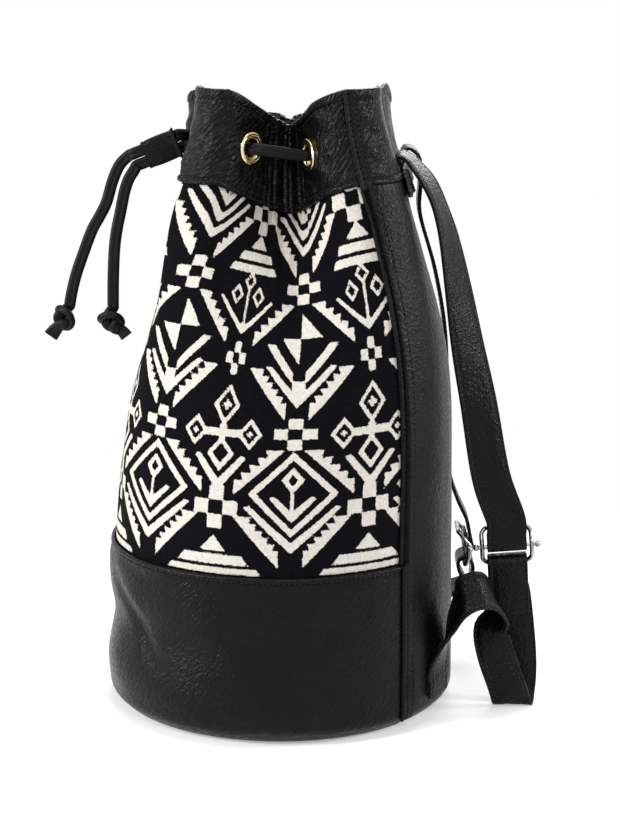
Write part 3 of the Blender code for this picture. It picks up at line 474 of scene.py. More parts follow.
def panel(name, columns, outline, materials, relief, slots, closed=False, whole=False):
    """A panel of the bag: a closed outline of (height, offset) points carried round the skin. The
    relief moves its outer face alone, or both faces where the whole panel bends."""
    outline = np.array(outline)
    u = np.asarray(columns, float)[:, None]
    h = outline[None, :, 0]
    offset = np.broadcast_to(outline[None, :, 1], (len(columns), len(outline))).copy()
    offset += relief(u, h) * (whole | (offset > outline[:, 1].mean()))
    rings = skin_at(u, h, offset)
    u_marks = np.radians(np.append(columns, columns[0] + 360.0 if closed else columns[-1]))
    h_marks = np.append(outline[:, 0], outline[0, 0])
    uv = lay_grid(u_marks * BODY_RADIUS, h_marks)
    return loft(name, rings[:, ::-1], uv[:, ::-1], materials, closed, sharp=50.0,
                ring_slots=np.roll(slots[::-1], -1))


def rise(low, high, count, offset):
    """Points of an outline that climb the skin at one offset."""
    return [(h, offset) for h in np.linspace(low, high, count)]


def wave(u, h, terms):
    """A soft unevenness: a sum of fixed waves, as (turns round, per metre up, phase, depth)."""
    total = 0.0
    for turns, rate, phase, depth in terms:
        total = total + depth * np.sin(np.radians(u) * turns + 2 * math.pi * rate * h + phase)
    return total


def stitch_columns(first, last, fine=0.42, coarse=0.72, reach=16.0):
    """Angles round the bag, closer together in the gathered valleys."""
    result = [first]
    while result[-1] < last:
        angle, _ = side_angle(result[-1])
        close = min(abs(angle - NEAR_VALLEY_ANGLE), abs(angle - FRONT_VALLEY_ANGLE)) < reach
        result.append(result[-1] + (fine if close else coarse))
    result[-1] = last
    return np.array(result)


# Finishes

def wired(tree, kind, links=None, **settings):
    """A new node, with each named input linked to a socket or set to a value."""
    new = tree.nodes.new(kind)
    for key, value in settings.items():
        setattr(new, key, value)
    for key, value in (links or {}).items():
        if isinstance(value, bpy.types.NodeSocket):
            tree.links.new(value, new.inputs[key])
        else:
            new.inputs[key].default_value = value
    return new


class Finish:
    """A procedural material, built node by node."""

    def __init__(self, name, roughness, metallic=0.0, specular=0.5):
        self.material = bpy.data.materials.new(name)
        self.material.use_nodes = True
        self.tree = self.material.node_tree
        self.shader = self.tree.nodes["Principled BSDF"]
        values = {"Roughness": roughness, "Metallic": metallic, "Specular IOR Level": specular}
        for key, value in values.items():
            self.shader.inputs[key].default_value = value

    def node(self, kind, links=None, **settings):
        return wired(self.tree, "ShaderNode" + kind, links, **settings)

    def lay(self, turn=0.0, stretch=(1.0, 1.0, 1.0)):
        """The piece's own UV lay, in metres, turned and stretched."""
        links = {"Vector": self.node("TexCoord").outputs["UV"],
                 "Rotation": (0.0, 0.0, math.radians(turn)),
                 "Scale": tuple(1.0 / s for s in stretch)}
        return self.node("Mapping", links, vector_type="TEXTURE").outputs["Vector"]

    def place(self):
        return self.node("TexCoord").outputs["Object"]

    def noise(self, vector, scale, detail=4.0, rough=0.55):
        links = {"Vector": vector, "Scale": scale, "Detail": detail, "Roughness": rough}
        return self.node("TexNoise", links).outputs["Fac"]

    def wave(self, vector, scale, direction, **more):
        links = {"Vector": vector, "Scale": scale, **more}
        return self.node("TexWave", links, bands_direction=direction).outputs["Fac"]

    def ramp(self, value, low, high, first=0.0, last=1.0):
        links = {"Value": value, "From Min": low, "From Max": high, "To Min": first, "To Max": last}
        return self.node("MapRange", links).outputs["Result"]

    def math(self, operation, first, second=0.0):
        return self.node("Math", {0: first, 1: second}, operation=operation).outputs[0]

    def mix(self, fac, first, second):
        """A colour between two, each a socket or (red, green, blue)."""
        links = {0: fac, 6: first, 7: second}
        links = {key: (*value, 1.0) if isinstance(value, tuple) else value
                 for key, value in links.items()}
        return self.node("Mix", links, data_type="RGBA").outputs[2]

    def bump(self, height, strength, distance, after=None):
        links = {"Height": height, "Strength": strength, "Distance": distance}
        if after is not None:
            links["Normal"] = after
        return self.node("Bump", links).outputs["Normal"]

    def drive(self, **sockets):
        for key, value in sockets.items():
            self.tree.links.new(value, self.shader.inputs[key.replace("_", " ")])
        return self.material


def leather(name, dark, light, roughness, grain, crease_depth, crease_turn, crease_rate):
    """Black grained leather: pebble cells, finer creases that run one way, and a lighter tone
    painted on the creases in patches as painted sheen.
    """
    finish = Finish(name, roughness, specular=0.12)
    lay = finish.lay()
    patches = finish.noise(lay, 38.0, 5.0, 0.6)
    pebbles = finish.node("TexVoronoi", {"Vector": lay, "Scale": grain, "Smoothness": 0.35},
                          feature="SMOOTH_F1").outputs["Distance"]
    fine = finish.noise(lay, grain * 1.7, 3.0, 0.7)
    run = finish.lay(crease_turn, (1.0, crease_rate, 1.0))
    creases = finish.noise(run, 520.0, 1.2, 0.4)
    creases = finish.ramp(creases, 0.30, 0.70)
    broad = finish.noise(finish.lay(crease_turn, (1.0, crease_rate * 2.0, 1.0)), 60.0, 1.0, 0.4)
    normal = finish.bump(broad, 1.0, crease_depth * 4.0)
    normal = finish.bump(creases, 1.0, crease_depth, normal)
    normal = finish.bump(pebbles, 1.0, 0.00022, normal)
    normal = finish.bump(fine, 0.4, 0.00007, normal)
    # Painted sheen: the creases are mixed to the lighter tone in patches, where highlights would
    # fall.
    painted_sheen = finish.math("MULTIPLY", finish.ramp(patches, 0.35, 0.75), finish.ramp(creases, 0.2, 1.0))
    colour = finish.mix(painted_sheen, dark, light)
    rough = finish.ramp(finish.math("ADD", patches, creases), 0.6, 1.5, roughness + 0.10,
                        roughness - 0.06)
    return finish.drive(Base_Color=colour, Roughness=rough, Normal=normal)


def woven_cloth():
    """The cloth: cream figures on a near-black ground, with threads both ways."""
    finish = Finish("woven_cloth", 0.90, specular=0.05)
    lay = finish.lay()
    weft, warp = (finish.wave(lay, WEAVE_BANDS, direction, Distortion=0.6, Detail=2.0)
                  for direction in "YX")
    cloth = finish.math("MAXIMUM", weft, warp)
    ragged = finish.noise(lay, 1500.0, 2.0, 0.6)
    steps = finish.node("TexVoronoi", {"Vector": lay, "Scale": 1100.0, "Randomness": 0.5},
                        distance="CHEBYCHEV").outputs["Color"]
    step_value = finish.node("SeparateColor", {"Color": steps}).outputs[0]
    figure = finish.node("Attribute", attribute_name="figure").outputs["Fac"]
    edge = finish.math("ADD", figure, finish.ramp(step_value, 0.0, 1.0, -0.30, 0.30))
    edge = finish.math("ADD", edge, finish.ramp(ragged, 0.3, 0.7, -0.14, 0.14))
    shown = finish.ramp(edge, -0.10, 0.10)
    mottle = finish.noise(lay, 420.0, 4.0, 0.65)
    fleck = finish.ramp(finish.noise(lay, 1900.0, 2.0, 0.5), 0.56, 0.72)
    mottled = finish.ramp(mottle, 0.3, 0.7)
    cream = finish.mix(mottled, (0.56, 0.525, 0.46), (0.74, 0.72, 0.665))
    # Painted shade: the cream darkens to a shaded copy of itself in the gaps between the threads.
    cream = finish.mix(finish.ramp(cloth, 0.0, 0.75, 0.45, 0.0), cream, (0.36, 0.33, 0.28))
    cream = finish.mix(finish.math("MULTIPLY", fleck, 0.35), cream, (0.20, 0.18, 0.16))
    ground = finish.mix(mottled, (0.0014, 0.0014, 0.0020), (0.0045, 0.0045, 0.0066))
    colour = finish.mix(shown, ground, cream)
    normal = finish.bump(cloth, 0.55, 0.00022)
    normal = finish.bump(mottle, 0.3, 0.0002, normal)
    normal = finish.bump(shown, 0.5, 0.00018, normal)
    return finish.drive(Base_Color=colour, Normal=normal)


def lining_cloth():
    finish = Finish("dark_lining", 0.8, specular=0.3)
    lay = finish.lay()
    threads = finish.wave(lay, 220.0, "DIAGONAL", Distortion=1.0)
    colour = finish.mix(finish.noise(lay, 90.0), (0.010, 0.010, 0.011), (0.022, 0.022, 0.024))
    return finish.drive(Base_Color=colour, Normal=finish.bump(threads, 0.4, 0.00012))


def cord_leather():
    """The folded leather of the cord: smooth, with fine creases along and across it."""
    finish = Finish("cord_leather", 0.34, specular=0.11)
    lay = finish.lay()
    across = finish.noise(finish.lay(0.0, (0.25, 1.0, 1.0)), 900.0, 3.0, 0.6)
    along = finish.noise(finish.lay(0.0, (1.0, 0.12, 1.0)), 700.0, 3.0, 0.6)
    colour = finish.mix(finish.noise(lay, 130.0), (0.003, 0.003, 0.0034), (0.010, 0.010, 0.0105))
    normal = finish.bump(along, 0.5, 0.0002)
    normal = finish.bump(across, 0.35, 0.00012, normal)
    rough = finish.ramp(finish.noise(lay, 300.0), 0.3, 0.7, 0.34, 0.5)
    return finish.drive(Base_Color=colour, Roughness=rough, Normal=normal)


def metal(name, dark, light, roughness, wear):
    """Plated metal with fine handling marks, on object coordinates."""
    finish = Finish(name, roughness, metallic=1.0)
    place = finish.place()
    marks = finish.noise(place, 900.0, 4.0, 0.6)
    tint = finish.noise(place, 160.0, 3.0, 0.5)
    colour = finish.mix(finish.ramp(tint, 0.35, 0.65), dark, light)
    rough = finish.ramp(marks, 0.3, 0.7, roughness - wear, roughness + wear)
    normal = finish.bump(marks, 0.12, 0.00003)
    return finish.drive(Base_Color=colour, Roughness=rough, Normal=normal)


def thread_finish():
    finish = Finish("black_thread", 0.42, specular=0.30)
    place = finish.place()
    twist = finish.wave(place, 900.0, "DIAGONAL")
    colour = finish.mix(twist, (0.010, 0.010, 0.011), (0.030, 0.030, 0.031))
    return finish.drive(Base_Color=colour, Normal=finish.bump(twist, 0.4, 0.00006))


def board_finish():
    finish = Finish("stiff_board", 0.75, specular=0.3)
    place = finish.place()
    colour = finish.mix(finish.noise(place, 260.0), (0.020, 0.019, 0.018), (0.045, 0.042, 0.038))
    normal = finish.bump(finish.noise(place, 900.0), 0.3, 0.0001)
    return finish.drive(Base_Color=colour, Normal=normal)


# The leathers' own black, and a lighter copy of it that is painted on their creases as sheen.
DARK = (0.0020, 0.0020, 0.0022)
PAINTED_SHEEN_TONE = (0.0060, 0.0060, 0.0064)
body_leather = leather("body_leather", DARK, PAINTED_SHEEN_TONE, 0.31, 760.0, 0.00022, -50.0, 0.34)
collar_leather = leather("collar_leather", DARK, PAINTED_SHEEN_TONE, 0.27, 820.0, 0.00060, -48.0, 0.28)
back_leather = leather("back_leather", DARK, PAINTED_SHEEN_TONE, 0.36, 900.0, 0.00020, 88.0, 0.6)
strap_leather = leather("strap_leather", DARK, PAINTED_SHEEN_TONE, 0.28, 980.0, 0.00020, 0.0, 0.7)
trim_leather = leather("trim_leather", DARK, PAINTED_SHEEN_TONE, 0.34, 900.0, 0.00018, 10.0, 0.6)
cloth_finish = woven_cloth()
lining = lining_cloth()
cord_finish = cord_leather()
gold = metal("pale_gold", (0.74, 0.58, 0.30), (0.92, 0.78, 0.50), 0.20, 0.05)
nickel = metal("dark_nickel", (0.20, 0.20, 0.20), (0.42, 0.42, 0.41), 0.24, 0.06)
thread = thread_finish()
board = board_finish()


# The woven figures, as plain shapes in millimetres: u round the cloth, v up it

COLUMN = 50.0               # from one column of figures to the next
CELL = 46.0                 # from a crossing to the next, up the cloth
FIRST_COLUMN = 6.0          # where the column nearest +X stands
FIRST_CROSSING = 198.0      # height of its crossing
MILLIMETRES = 1000.0        # to a metre
FIGURE_REACH = 2.5          # how far from an outline its distance is kept

# Where the columns of figures stand round the cloth, in millimetres, at heights up it
CLOTH_START = -444.0
FAR_COLUMN = -244.0
EVEN_COLUMNS = (CLOTH_START, FAR_COLUMN, -94.0, -44.0, 6.0, 56.0, 156.0)
GATHERED_COLUMNS = (
    (120.0, (-94.0, -43.0, 6.0, 56.0)), (152.0, (-92.0, -42.0, 6.0, 56.0)),
    (200.0, (-88.0, -40.0, 6.0, 59.0)), (244.0, (-80.0, -34.5, 8.0, 62.5)),
    (291.0, (-70.0, -27.0, 12.0, 66.0)), (334.0, (-54.0, -17.0, 16.0, 73.0)),
    (346.0, (-52.0, -16.0, 17.0, 75.0)),
)


def block(x0, y0, x1, y1):
    return [(x0, y0), (x1, y0), (x1, y1), (x0, y1)]


def lozenge(x, y, half_wide, half_tall):
    return [(x - half_wide, y), (x, y - half_tall), (x + half_wide, y), (x, y + half_tall)]


def chevron(tip, spread, climb, band):
    """A V of even band: its tip, how far its arms spread and climb, and its upright thickness."""
    end = (spread - band * 0.55, tip + climb + band * 0.15)
    return [(0.0, tip), (spread, tip + climb), end, (0.0, tip + band), (-end[0], end[1]),
            (-spread, tip + climb)]


def plus(x, y, arm, half):
    return [(1, block(x - a, y - b, x + a, y + b)) for a, b in ((arm, half), (half, arm))]


def crossing(wide, tall):
    """A checker of five blocks with the middle one left dark."""
    return [(1, block((i - 0.5) * wide, (j - 0.5) * tall, (i + 0.5) * wide, (j + 0.5) * tall))
            for i, j in ((0, 1), (0, -1), (1, 0), (-1, 0))]


def saw_band(top, low, teeth, body, tooth):
    """A sloping band with one straight edge, and on the other teeth with level upper edges."""
    way = math.copysign(1.0, low[0] - top[0])
    slope = (top[0] - low[0]) / (top[1] - low[1])
    rest = low[1] + abs(body / slope)
    shapes = [(1, [top, (top[0] + way * body, top[1]), (low[0], rest), low])]
    for k in range(teeth):
        y = top[1] + (rest - top[1]) * k / teeth
        under = top[1] + (rest - top[1]) * (k + 1) / teeth
        x = top[0] + way * body + (y - top[1]) * slope
        back = top[0] + way * body + (under - top[1]) * slope
        tip = x + way * tooth
        tip = min(tip, low[0]) if way > 0 else max(tip, low[0])
        shapes.append((1, [(x - way, y), (tip, y), (back - way * 0.4, under)]))
    return shapes


def flower_lozenge():
    """Nested lozenges round a small flower on a stem."""
    return [(1, lozenge(0, 9.5, 29.0, 26.5)), (0, lozenge(0, 9.5, 23.6, 21.6)),
            (1, chevron(-27.5, 31.5, 28.5, 6.8)), (1, chevron(-8.0, 15.5, 15.5, 6.6)),
            (1, lozenge(0, 18.5, 7.4, 8.4)), (0, lozenge(0, 18.5, 3.2, 3.8)),
            (1, block(-1.1, -4.0, 1.1, 11.5))]


def stemmed_chevrons():
    """Nested chevrons with a forked stem, where the seam cuts the lozenges off."""
    return [(1, chevron(-24.5, 29.0, 27.0, 6.2)), (1, chevron(-14.0, 21.0, 20.0, 6.0)),
            (1, chevron(-3.5, 11.0, 11.0, 6.0)), (1, block(-1.0, 0.0, 1.0, 9.0)),
            (1, [(-1.0, 6.0), (1.0, 6.0), (3.6, 11.0), (-3.6, 11.0)])]


def hourglass():
    """Two triangles point to point over stacked chevrons."""
    arm = [(27.0, 10.5), (20.0, 10.8), (4.2, -6.5), (4.2, -13.0), (6.0, -11.8)]
    side = [(25.5, -3.5), (20.5, -3.2), (4.4, -18.0), (4.4, -11.8)]
    return [(1, [(0.0, 31.5), (15.0, 15.0), (0.0, 15.0)]),
            (1, [(0.0, 15.0), (-15.0, 15.0), (0.0, -1.5)]),
            (1, [(-x, y) for x, y in arm]), (1, arm),
            (1, [(0.0, -28.5)] + side + [(-x, y) for x, y in reversed(side)])]


def four_lozenges():
    """A cross of four ringed lozenges standing in a chevron."""
    shapes = [(1, block(-18.0, -2.4, 18.0, 2.4)),
              (1, [(-1.8, -5.0), (1.8, -5.0), (2.6, 5.0), (-2.6, 5.0)])]
    for x in (-19.5, 19.5):
        shapes += [(1, lozenge(x, 0.0, 8.8, 9.8)), (0, lozenge(x, 0.0, 5.6, 6.2))]
        shapes += plus(x, 0.0, 2.2, 0.8)
    shapes += [(1, lozenge(0.0, 17.0, 9.8, 13.2)), (0, lozenge(0.0, 17.2, 6.6, 9.2))]
    shapes += plus(0.0, 17.2, 3.3, 1.15)
    return shapes + [(1, lozenge(0.0, -13.0, 9.6, 10.8)), (0, lozenge(0.0, -12.6, 5.6, 6.4)),
                     (1, chevron(-36.0, 18.5, 21.5, 7.6))]


def bars_and_tulip():
    """A small pyramid over two bars, and below it three small lozenges on stems in a chevron."""
    shapes = [(1, [(-8.8, 23.2), (8.8, 23.2), (0.0, 32.6)]),
              (1, [(-17.5, 15.2), (17.5, 15.2), (14.5, 20.6), (-14.5, 20.6)]),
              (1, [(-23.5, 7.6), (23.5, 7.6), (20.0, 12.6), (-20.0, 12.6)]),
              (1, lozenge(0.0, 2.2, 5.4, 6.2)), (0, lozenge(0.0, 2.2, 2.9, 3.4)),
              (1, block(-1.0, -28.0, 1.0, -3.0))]
    for x in (-9.6, 9.6):
        shapes += [(1, lozenge(x, -6.8, 5.6, 6.8)), (0, lozenge(x, -6.8, 3.0, 3.8))]
    return shapes + [(1, chevron(-31.5, 24.0, 22.0, 4.6))]


def seam_bars():
    """The pyramid over bars as the bottom seam cuts it."""
    return [(1, [(-9.0, 18.8), (9.0, 18.8), (0.0, 28.5)]),
            (1, [(-24.0, 10.6), (24.0, 10.6), (19.0, 16.6), (-19.0, 16.6)]),
            (1, [(-32.0, 4.6), (32.0, 4.6), (29.0, 8.4), (-29.0, 8.4)])]


def cloth_figures():
    """Every figure on the cloth with its place, as (cream or dark, outline) in order."""
    placed = []

    def put(x, y, shapes):
        placed.extend((light, [(x + a, y + b) for a, b in outline]) for light, outline in shapes)

    cells = {-2: seam_bars, -1: flower_lozenge, 0: four_lozenges, 1: hourglass, 2: bars_and_tulip,
             3: stemmed_chevrons}
    for c in range(-9, 3):
        x = FIRST_COLUMN + COLUMN * c
        odd = c % 2
        for number, figure in cells.items():
            if number % 2 != odd:
                put(x, FIRST_CROSSING + CELL * number, figure())
        base = FIRST_CROSSING - (CELL if odd else 0.0)
        for k in range(-1, 3):
            y = base + 2 * CELL * k
            if odd:
                put(x, y, crossing(5.0, 6.8) if k == 1 else crossing(9.9, 8.8))
                continue
            if k >= 0:
                put(x, y + 1.0, crossing(9.2, 6.5))
            for way in (1.0, -1.0):
                put(x, y, saw_band((way * 6.0, -9.0), (way * 39.0, -38.0), 5, 5.6, 7.0))
                put(x, y, saw_band((way * 38.0, 41.0), (way * 7.6, 9.5), 6, 6.6, 5.6))
    return placed


def inside_distance(points, outline):
    """How far points lie inside an outline, negative outside it."""
    outline = np.array(outline)
    after = np.roll(outline, -1, axis=0)
    nearest = np.full(len(points), np.inf)
    crossings = np.zeros(len(points), dtype=int)
    for a, b in zip(outline, after):
        way = b - a
        along = np.clip(((points - a) @ way) / (way @ way), 0.0, 1.0)
        nearest = np.minimum(nearest, np.linalg.norm(points - a - along[:, None] * way, axis=1))
        spans = (a[1] > points[:, 1]) != (b[1] > points[:, 1])
        rate = way[0] / way[1] if way[1] else 0.0
        crossings += spans & (points[:, 0] < a[0] + (points[:, 1] - a[1]) * rate)
    return np.where(crossings % 2 == 1, nearest, -nearest)


def figure_depth(points):
    """How far each point of the cloth, in millimetres, lies inside a cream figure."""
    reach = FIGURE_REACH
    depth = np.full(len(points), -reach)
    for light, outline in cloth_figures():
        corners = np.array(outline)
        low = corners.min(axis=0) - reach
        high = corners.max(axis=0) + reach
        near = np.flatnonzero(((points > low) & (points < high)).all(axis=1))
        if len(near) == 0:
            continue
        distance = np.clip(inside_distance(points[near], outline), -reach, reach)
        if light:
            depth[near] = np.maximum(depth[near], distance)
        else:
            depth[near] = np.minimum(depth[near], -distance)
    return depth


def drawn_together(lay):
    """Moves the figures round the cloth, in millimetres, where its gathers draw them in."""
    moved = []
    for _, places in GATHERED_COLUMNS:
        stands = [CLOTH_START, FAR_COLUMN] + list(places) + [places[-1] + 100.0]
        moved.append(np.interp(lay[:, 0], stands, EVEN_COLUMNS))
    levels = [level for level, _ in GATHERED_COLUMNS]
    row = np.interp(lay[:, 1], levels, np.arange(len(levels)))
    first = np.clip(row.astype(int), 0, len(levels) - 2)
    share = row - first
    moved = np.array(moved)
    index = np.arange(len(lay))
    across = moved[first, index] * (1 - share) + moved[first + 1, index] * share
    return np.stack((across, lay[:, 1]), axis=-1)


def figure_attribute(piece):
    """Keeps, at each vertex, how far it lies inside a cream figure, from the piece's own lay."""
    mesh = piece.data
    coords = np.empty(len(mesh.loops) * 2, dtype=np.float32)
    mesh.uv_layers["Lay"].data.foreach_get("uv", coords)
    corner = np.empty(len(mesh.loops), dtype=np.int32)
    mesh.loops.foreach_get("vertex_index", corner)
    lay = np.zeros((len(mesh.vertices), 2))
    lay[corner] = coords.reshape(-1, 2)
    lay[:, 0] -= 2 * math.pi * BODY_RADIUS
    values = figure_depth(drawn_together(lay * MILLIMETRES))
    layer = mesh.attributes.new("figure", "FLOAT", "POINT")
    layer.data.foreach_set("value", values.astype(np.float32))


# The body's panels

def inner_slots(outline, inner_offset):
    """Slot 1, the lining, for the stretches of an outline that lie on the inner offset."""
    offsets = np.array(outline)[:, 1]
    both = (offsets <= inner_offset + 1e-6) & (np.roll(offsets, -1) <= inner_offset + 1e-6)
    return both.astype(int)


def make_band():
    """The smooth leather foot, folded over along its top edge and stitched to the cloth."""
    out = BODY_OUT
    outline = rise(-FOOT_ROUND, FOOT_ROUND, 16, out) + rise(0.0170, 0.1035, 44, out)[:-1]
    outline += [(0.1035, out), (0.1044, out), (0.1047, out - 0.0005), (0.1050, out - 0.0005),
                (0.1053, out + 0.0002), (0.1060, out + 0.0005), (0.1070, out + 0.0004),
                (0.1077, out), (0.1080, out - 0.0007), (0.1080, BODY_IN + 0.0003)]
    outline += rise(-FOOT_ROUND, 0.1078, 20, BODY_IN)[::-1]

    def relief(u, h):
        turn = (u + 180.0) % 360.0 - 180.0
        front = bell(turn, -62.0, 36.0)
        dent = bell(h, 0.062, 0.014) * front
        swell = bell(h, 0.031, 0.016) * front
        crease = bell(h, 0.082 - (turn + 66.0) * 0.0016, 0.008) * bell(turn, -56.0, 13.0)
        belly = bell(h, 0.020, 0.013) * bell(turn, -22.0, 26.0)
        soft = wave(u, h, ((3, 9.0, 0.3, 0.0006), (7, 5.0, 1.7, 0.0004), (13, 14.0, 0.9, 0.0002)))
        soft = soft - 0.0040 * dent + 0.0034 * swell - 0.0026 * crease + 0.0016 * belly
        level = smooth(h, 0.004, 0.022) * (1 - smooth(h, 0.098, 0.104))
        return soft * level

    return panel("lower_leather", np.linspace(FRONT_FIRST, FRONT_LAST, 271), outline,
                 [body_leather, lining], relief, inner_slots(outline, BODY_IN), whole=True)


def make_cloth():
    """The woven panel: pulled in at its seams, and gathered under the collar."""
    outline = rise(CLOTH_LOW, 0.1064, 4, 0.0) + rise(0.1078, CLOTH_TOP, 160, 0.0)
    outline += rise(CLOTH_LOW, CLOTH_TOP, 24, -CLOTH)[::-1]

    def relief(u, h):
        seams = smooth(h, 0.106, 0.122) * (1 - smooth(h, 0.325, 0.339))
        angle, _ = side_angle(u)
        sides = 1 - smooth(angle, SEAM_ANGLE - 9.0, SEAM_ANGLE - 4.0)
        soft = wave(u, h, ((4, 6.0, 0.2, 0.0005), (9, 4.0, 1.1, 0.0004), (15, 11.0, 2.3, 0.00022)))
        return (soft + 0.0003) * seams * sides

    return panel("woven_body", stitch_columns(FRONT_FIRST, FRONT_LAST), outline,
                 [cloth_finish, lining], relief, inner_slots(outline, -CLOTH))


def make_back():
    """The plain leather back between the two seam strips."""
    top = WAIST_HEIGHT - GAP
    outline = rise(-FOOT_ROUND, FOOT_ROUND, 12, BACK_OUT) + rise(0.0180, top, 90, BACK_OUT)
    outline += rise(-FOOT_ROUND, top, 24, GAP)[::-1]

    def relief(u, h):
        level = smooth(h, 0.100, 0.130) * (1 - smooth(h, 0.300, 0.330))
        middle = smooth(u, 68.0, 78.0) * (1 - smooth(u, 102.0, 112.0))
        return wave(u, h, ((6, 8.0, 0.5, 0.0003), (11, 5.0, 1.9, 0.0002))) * level * middle

    return panel("back_leather", np.linspace(BACK_FIRST, BACK_LAST, 110), outline,
                 [back_leather, lining], relief, inner_slots(outline, GAP))


def collar_outline():
    """The collar cut through: a rolled welt at the waist, stitching, and a folded hem."""
    out, hem = COLLAR_OUT, HEM_OUT
    outer = [(0.3400, 0.0022), (0.3404, 0.0031), (0.3412, 0.0035), (0.3424, 0.0035),
             (0.3432, 0.0031), (0.3437, out - 0.0002), (WAIST_STITCH, out - 0.0006),
             (0.3445, out - 0.0002)]
    outer += rise(0.3455, 0.3900, 34, out)
    outer += [(0.3906, out), (HEM_STITCH, out - 0.0005), (0.3916, out + 0.0003), (0.3925, hem),
              (0.3940, hem + 0.0001), (0.3960, hem + 0.0001), (0.3972, hem - 0.0003),
              (0.3976, 0.0020), (0.3972, 0.0008)]
    return outer + rise(0.3403, 0.3966, 18, GAP)[::-1]


def collar_relief(u, h):
    """Drags that fan out from the eyelets and slant between them."""
    angle, _ = side_angle(u)
    level = smooth(h, 0.3450, 0.3500) * (1 - smooth(h, 0.3860, 0.3900))
    slant = np.sin(np.radians(angle) * 26 + 330.0 * (h - 0.35)) * 0.00035
    away = 1.0
    for centre in EYELET_ANGLES:
        away = away * smooth(np.hypot((angle - centre) * 0.0010, h - EYELET_HEIGHT), 0.009, 0.015)
    soft = wave(u, h, ((17, 22.0, 0.7, 0.00030), (29, 35.0, 2.0, 0.00018)))
    back = smooth(angle, 54.0, 64.0)
    return (slant + soft) * level * away * (1 - back)


def eyelet_places():
    return [skin_frame(u, EYELET_HEIGHT) for angle in EYELET_ANGLES for u in (angle, 180.0 - angle)]


def spokes(axis, count):
    """Even directions round an axis."""
    seed = unit(np.cross(axis, (0.31, 0.87, 0.39)))
    turn = 2 * math.pi * np.arange(count)[:, None] / count
    return np.cos(turn) * seed + np.sin(turn) * np.cross(axis, seed)


def turned(name, centre, axis, profile, count, materials, sharp=40.0):
    """A ring turned about an axis, from a closed outline of (radius, height) points."""
    radial = spokes(axis, count)
    profile = np.array(profile)
    rings = centre + radial[:, None] * profile[:, :1] + axis * profile[:, 1:]
    round_marks = np.linspace(0.0, 2 * math.pi, count + 1) * profile[:, 0].mean()
    lengths = section_lengths(profile)
    return loft(name, rings, lay_grid(round_marks, lengths), materials, closed=True, sharp=sharp)


def make_collar():
    outline = collar_outline()
    columns = stitch_columns(FRONT_FIRST, FRONT_FIRST + 360.0, coarse=0.8)[:-1]
    piece = panel("collar_leather", columns, outline, [collar_leather, lining], collar_relief,
                  inner_slots(outline, GAP), closed=True)
    drills = []
    for centre, _, normal in eyelet_places():
        ends = centre + normal * np.array([[-0.006], [0.010]])
        drills.append(rod_piece("drill", ends, EYELET_HOLE + EYELET_WALL + GAP))
        modifier = piece.modifiers.new("hole", "BOOLEAN")
        modifier.operation = "DIFFERENCE"
        modifier.solver = "EXACT"
        modifier.object = drills[-1]
    plain_mesh(piece)
    for drill in drills:
        bpy.data.objects.remove(drill)
    return piece


def rod_piece(name, ends, radius, count=40):
    circle = spokes(unit(ends[1] - ends[0]), count) * radius
    return loft(name, ends[:, None] + circle, np.zeros((3, count + 1, 2)), [trim_leather])


def plain_mesh(obj):
    """Turns a piece with live modifiers into a plain mesh."""
    bpy.context.view_layer.update()
    finished = obj.evaluated_get(bpy.context.evaluated_depsgraph_get())
    mesh = bpy.data.meshes.new_from_object(finished)
    obj.modifiers.clear()
    obj.data = mesh


def strip_offset(u, h):
    """The under face of a seam strip: stepped over what it covers."""
    angle, _ = side_angle(u)
    under = np.where((h > BAND_HEIGHT + GAP) & (angle < SEAM_ANGLE - 0.5), GAP, OVER_BODY)
    return np.where(h > WAIST_HEIGHT - 0.003, OVER_HEM, under)


def make_strip(side):
    """A folded strip over a joint: a rolled fold at the cloth, a stitch row, and a flat half."""
    cut_edge = [(-1.00, 0.0002), (-1.00, 0.0010), (-0.93, 0.0017), (-0.78, 0.0022), (-0.60, 0.0022),
                (-0.44, 0.0016), (-0.36, 0.0009), (-0.28, 0.0007), (-0.20, 0.0011), (0.00, 0.0014),
                (0.40, 0.0014), (0.62, 0.0013), (0.68, 0.0008), (0.74, 0.0008), (0.80, 0.0013),
                (0.93, 0.0013), (1.00, 0.0008), (1.00, 0.0001)]
    under = [(share, 0.0) for share in np.linspace(0.96, -0.96, 8)]
    section = np.array(cut_edge + under)
    rows = np.concatenate((
        np.linspace(FOOT_ROUND / 2, BAND_HEIGHT, 60), [BAND_HEIGHT + 0.0006],
        np.linspace(BAND_HEIGHT + 0.0016, WAIST_HEIGHT - 0.0036, 130),
        [WAIST_HEIGHT - 0.0028], np.linspace(WAIST_HEIGHT - 0.0012, RIM_HEIGHT, 36)))
    u = SEAM_ANGLE + section[:, 0] * STRIP_HALF
    offset = strip_offset(u[None, :], rows[:, None]) + section[None, :, 1]
    if side == "far":
        u = 180.0 - u
    rings = skin_at(u[None, :], rows[:, None], offset)
    across = np.append(section[:, 0], section[0, 0]) * math.radians(STRIP_HALF) * BODY_RADIUS
    uv = lay_grid(wrapped(rows), across)
    piece = loft(f"seam_fold_{side}", rings, uv, [trim_leather])
    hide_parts(f"seam_strip_{side}")
    return piece


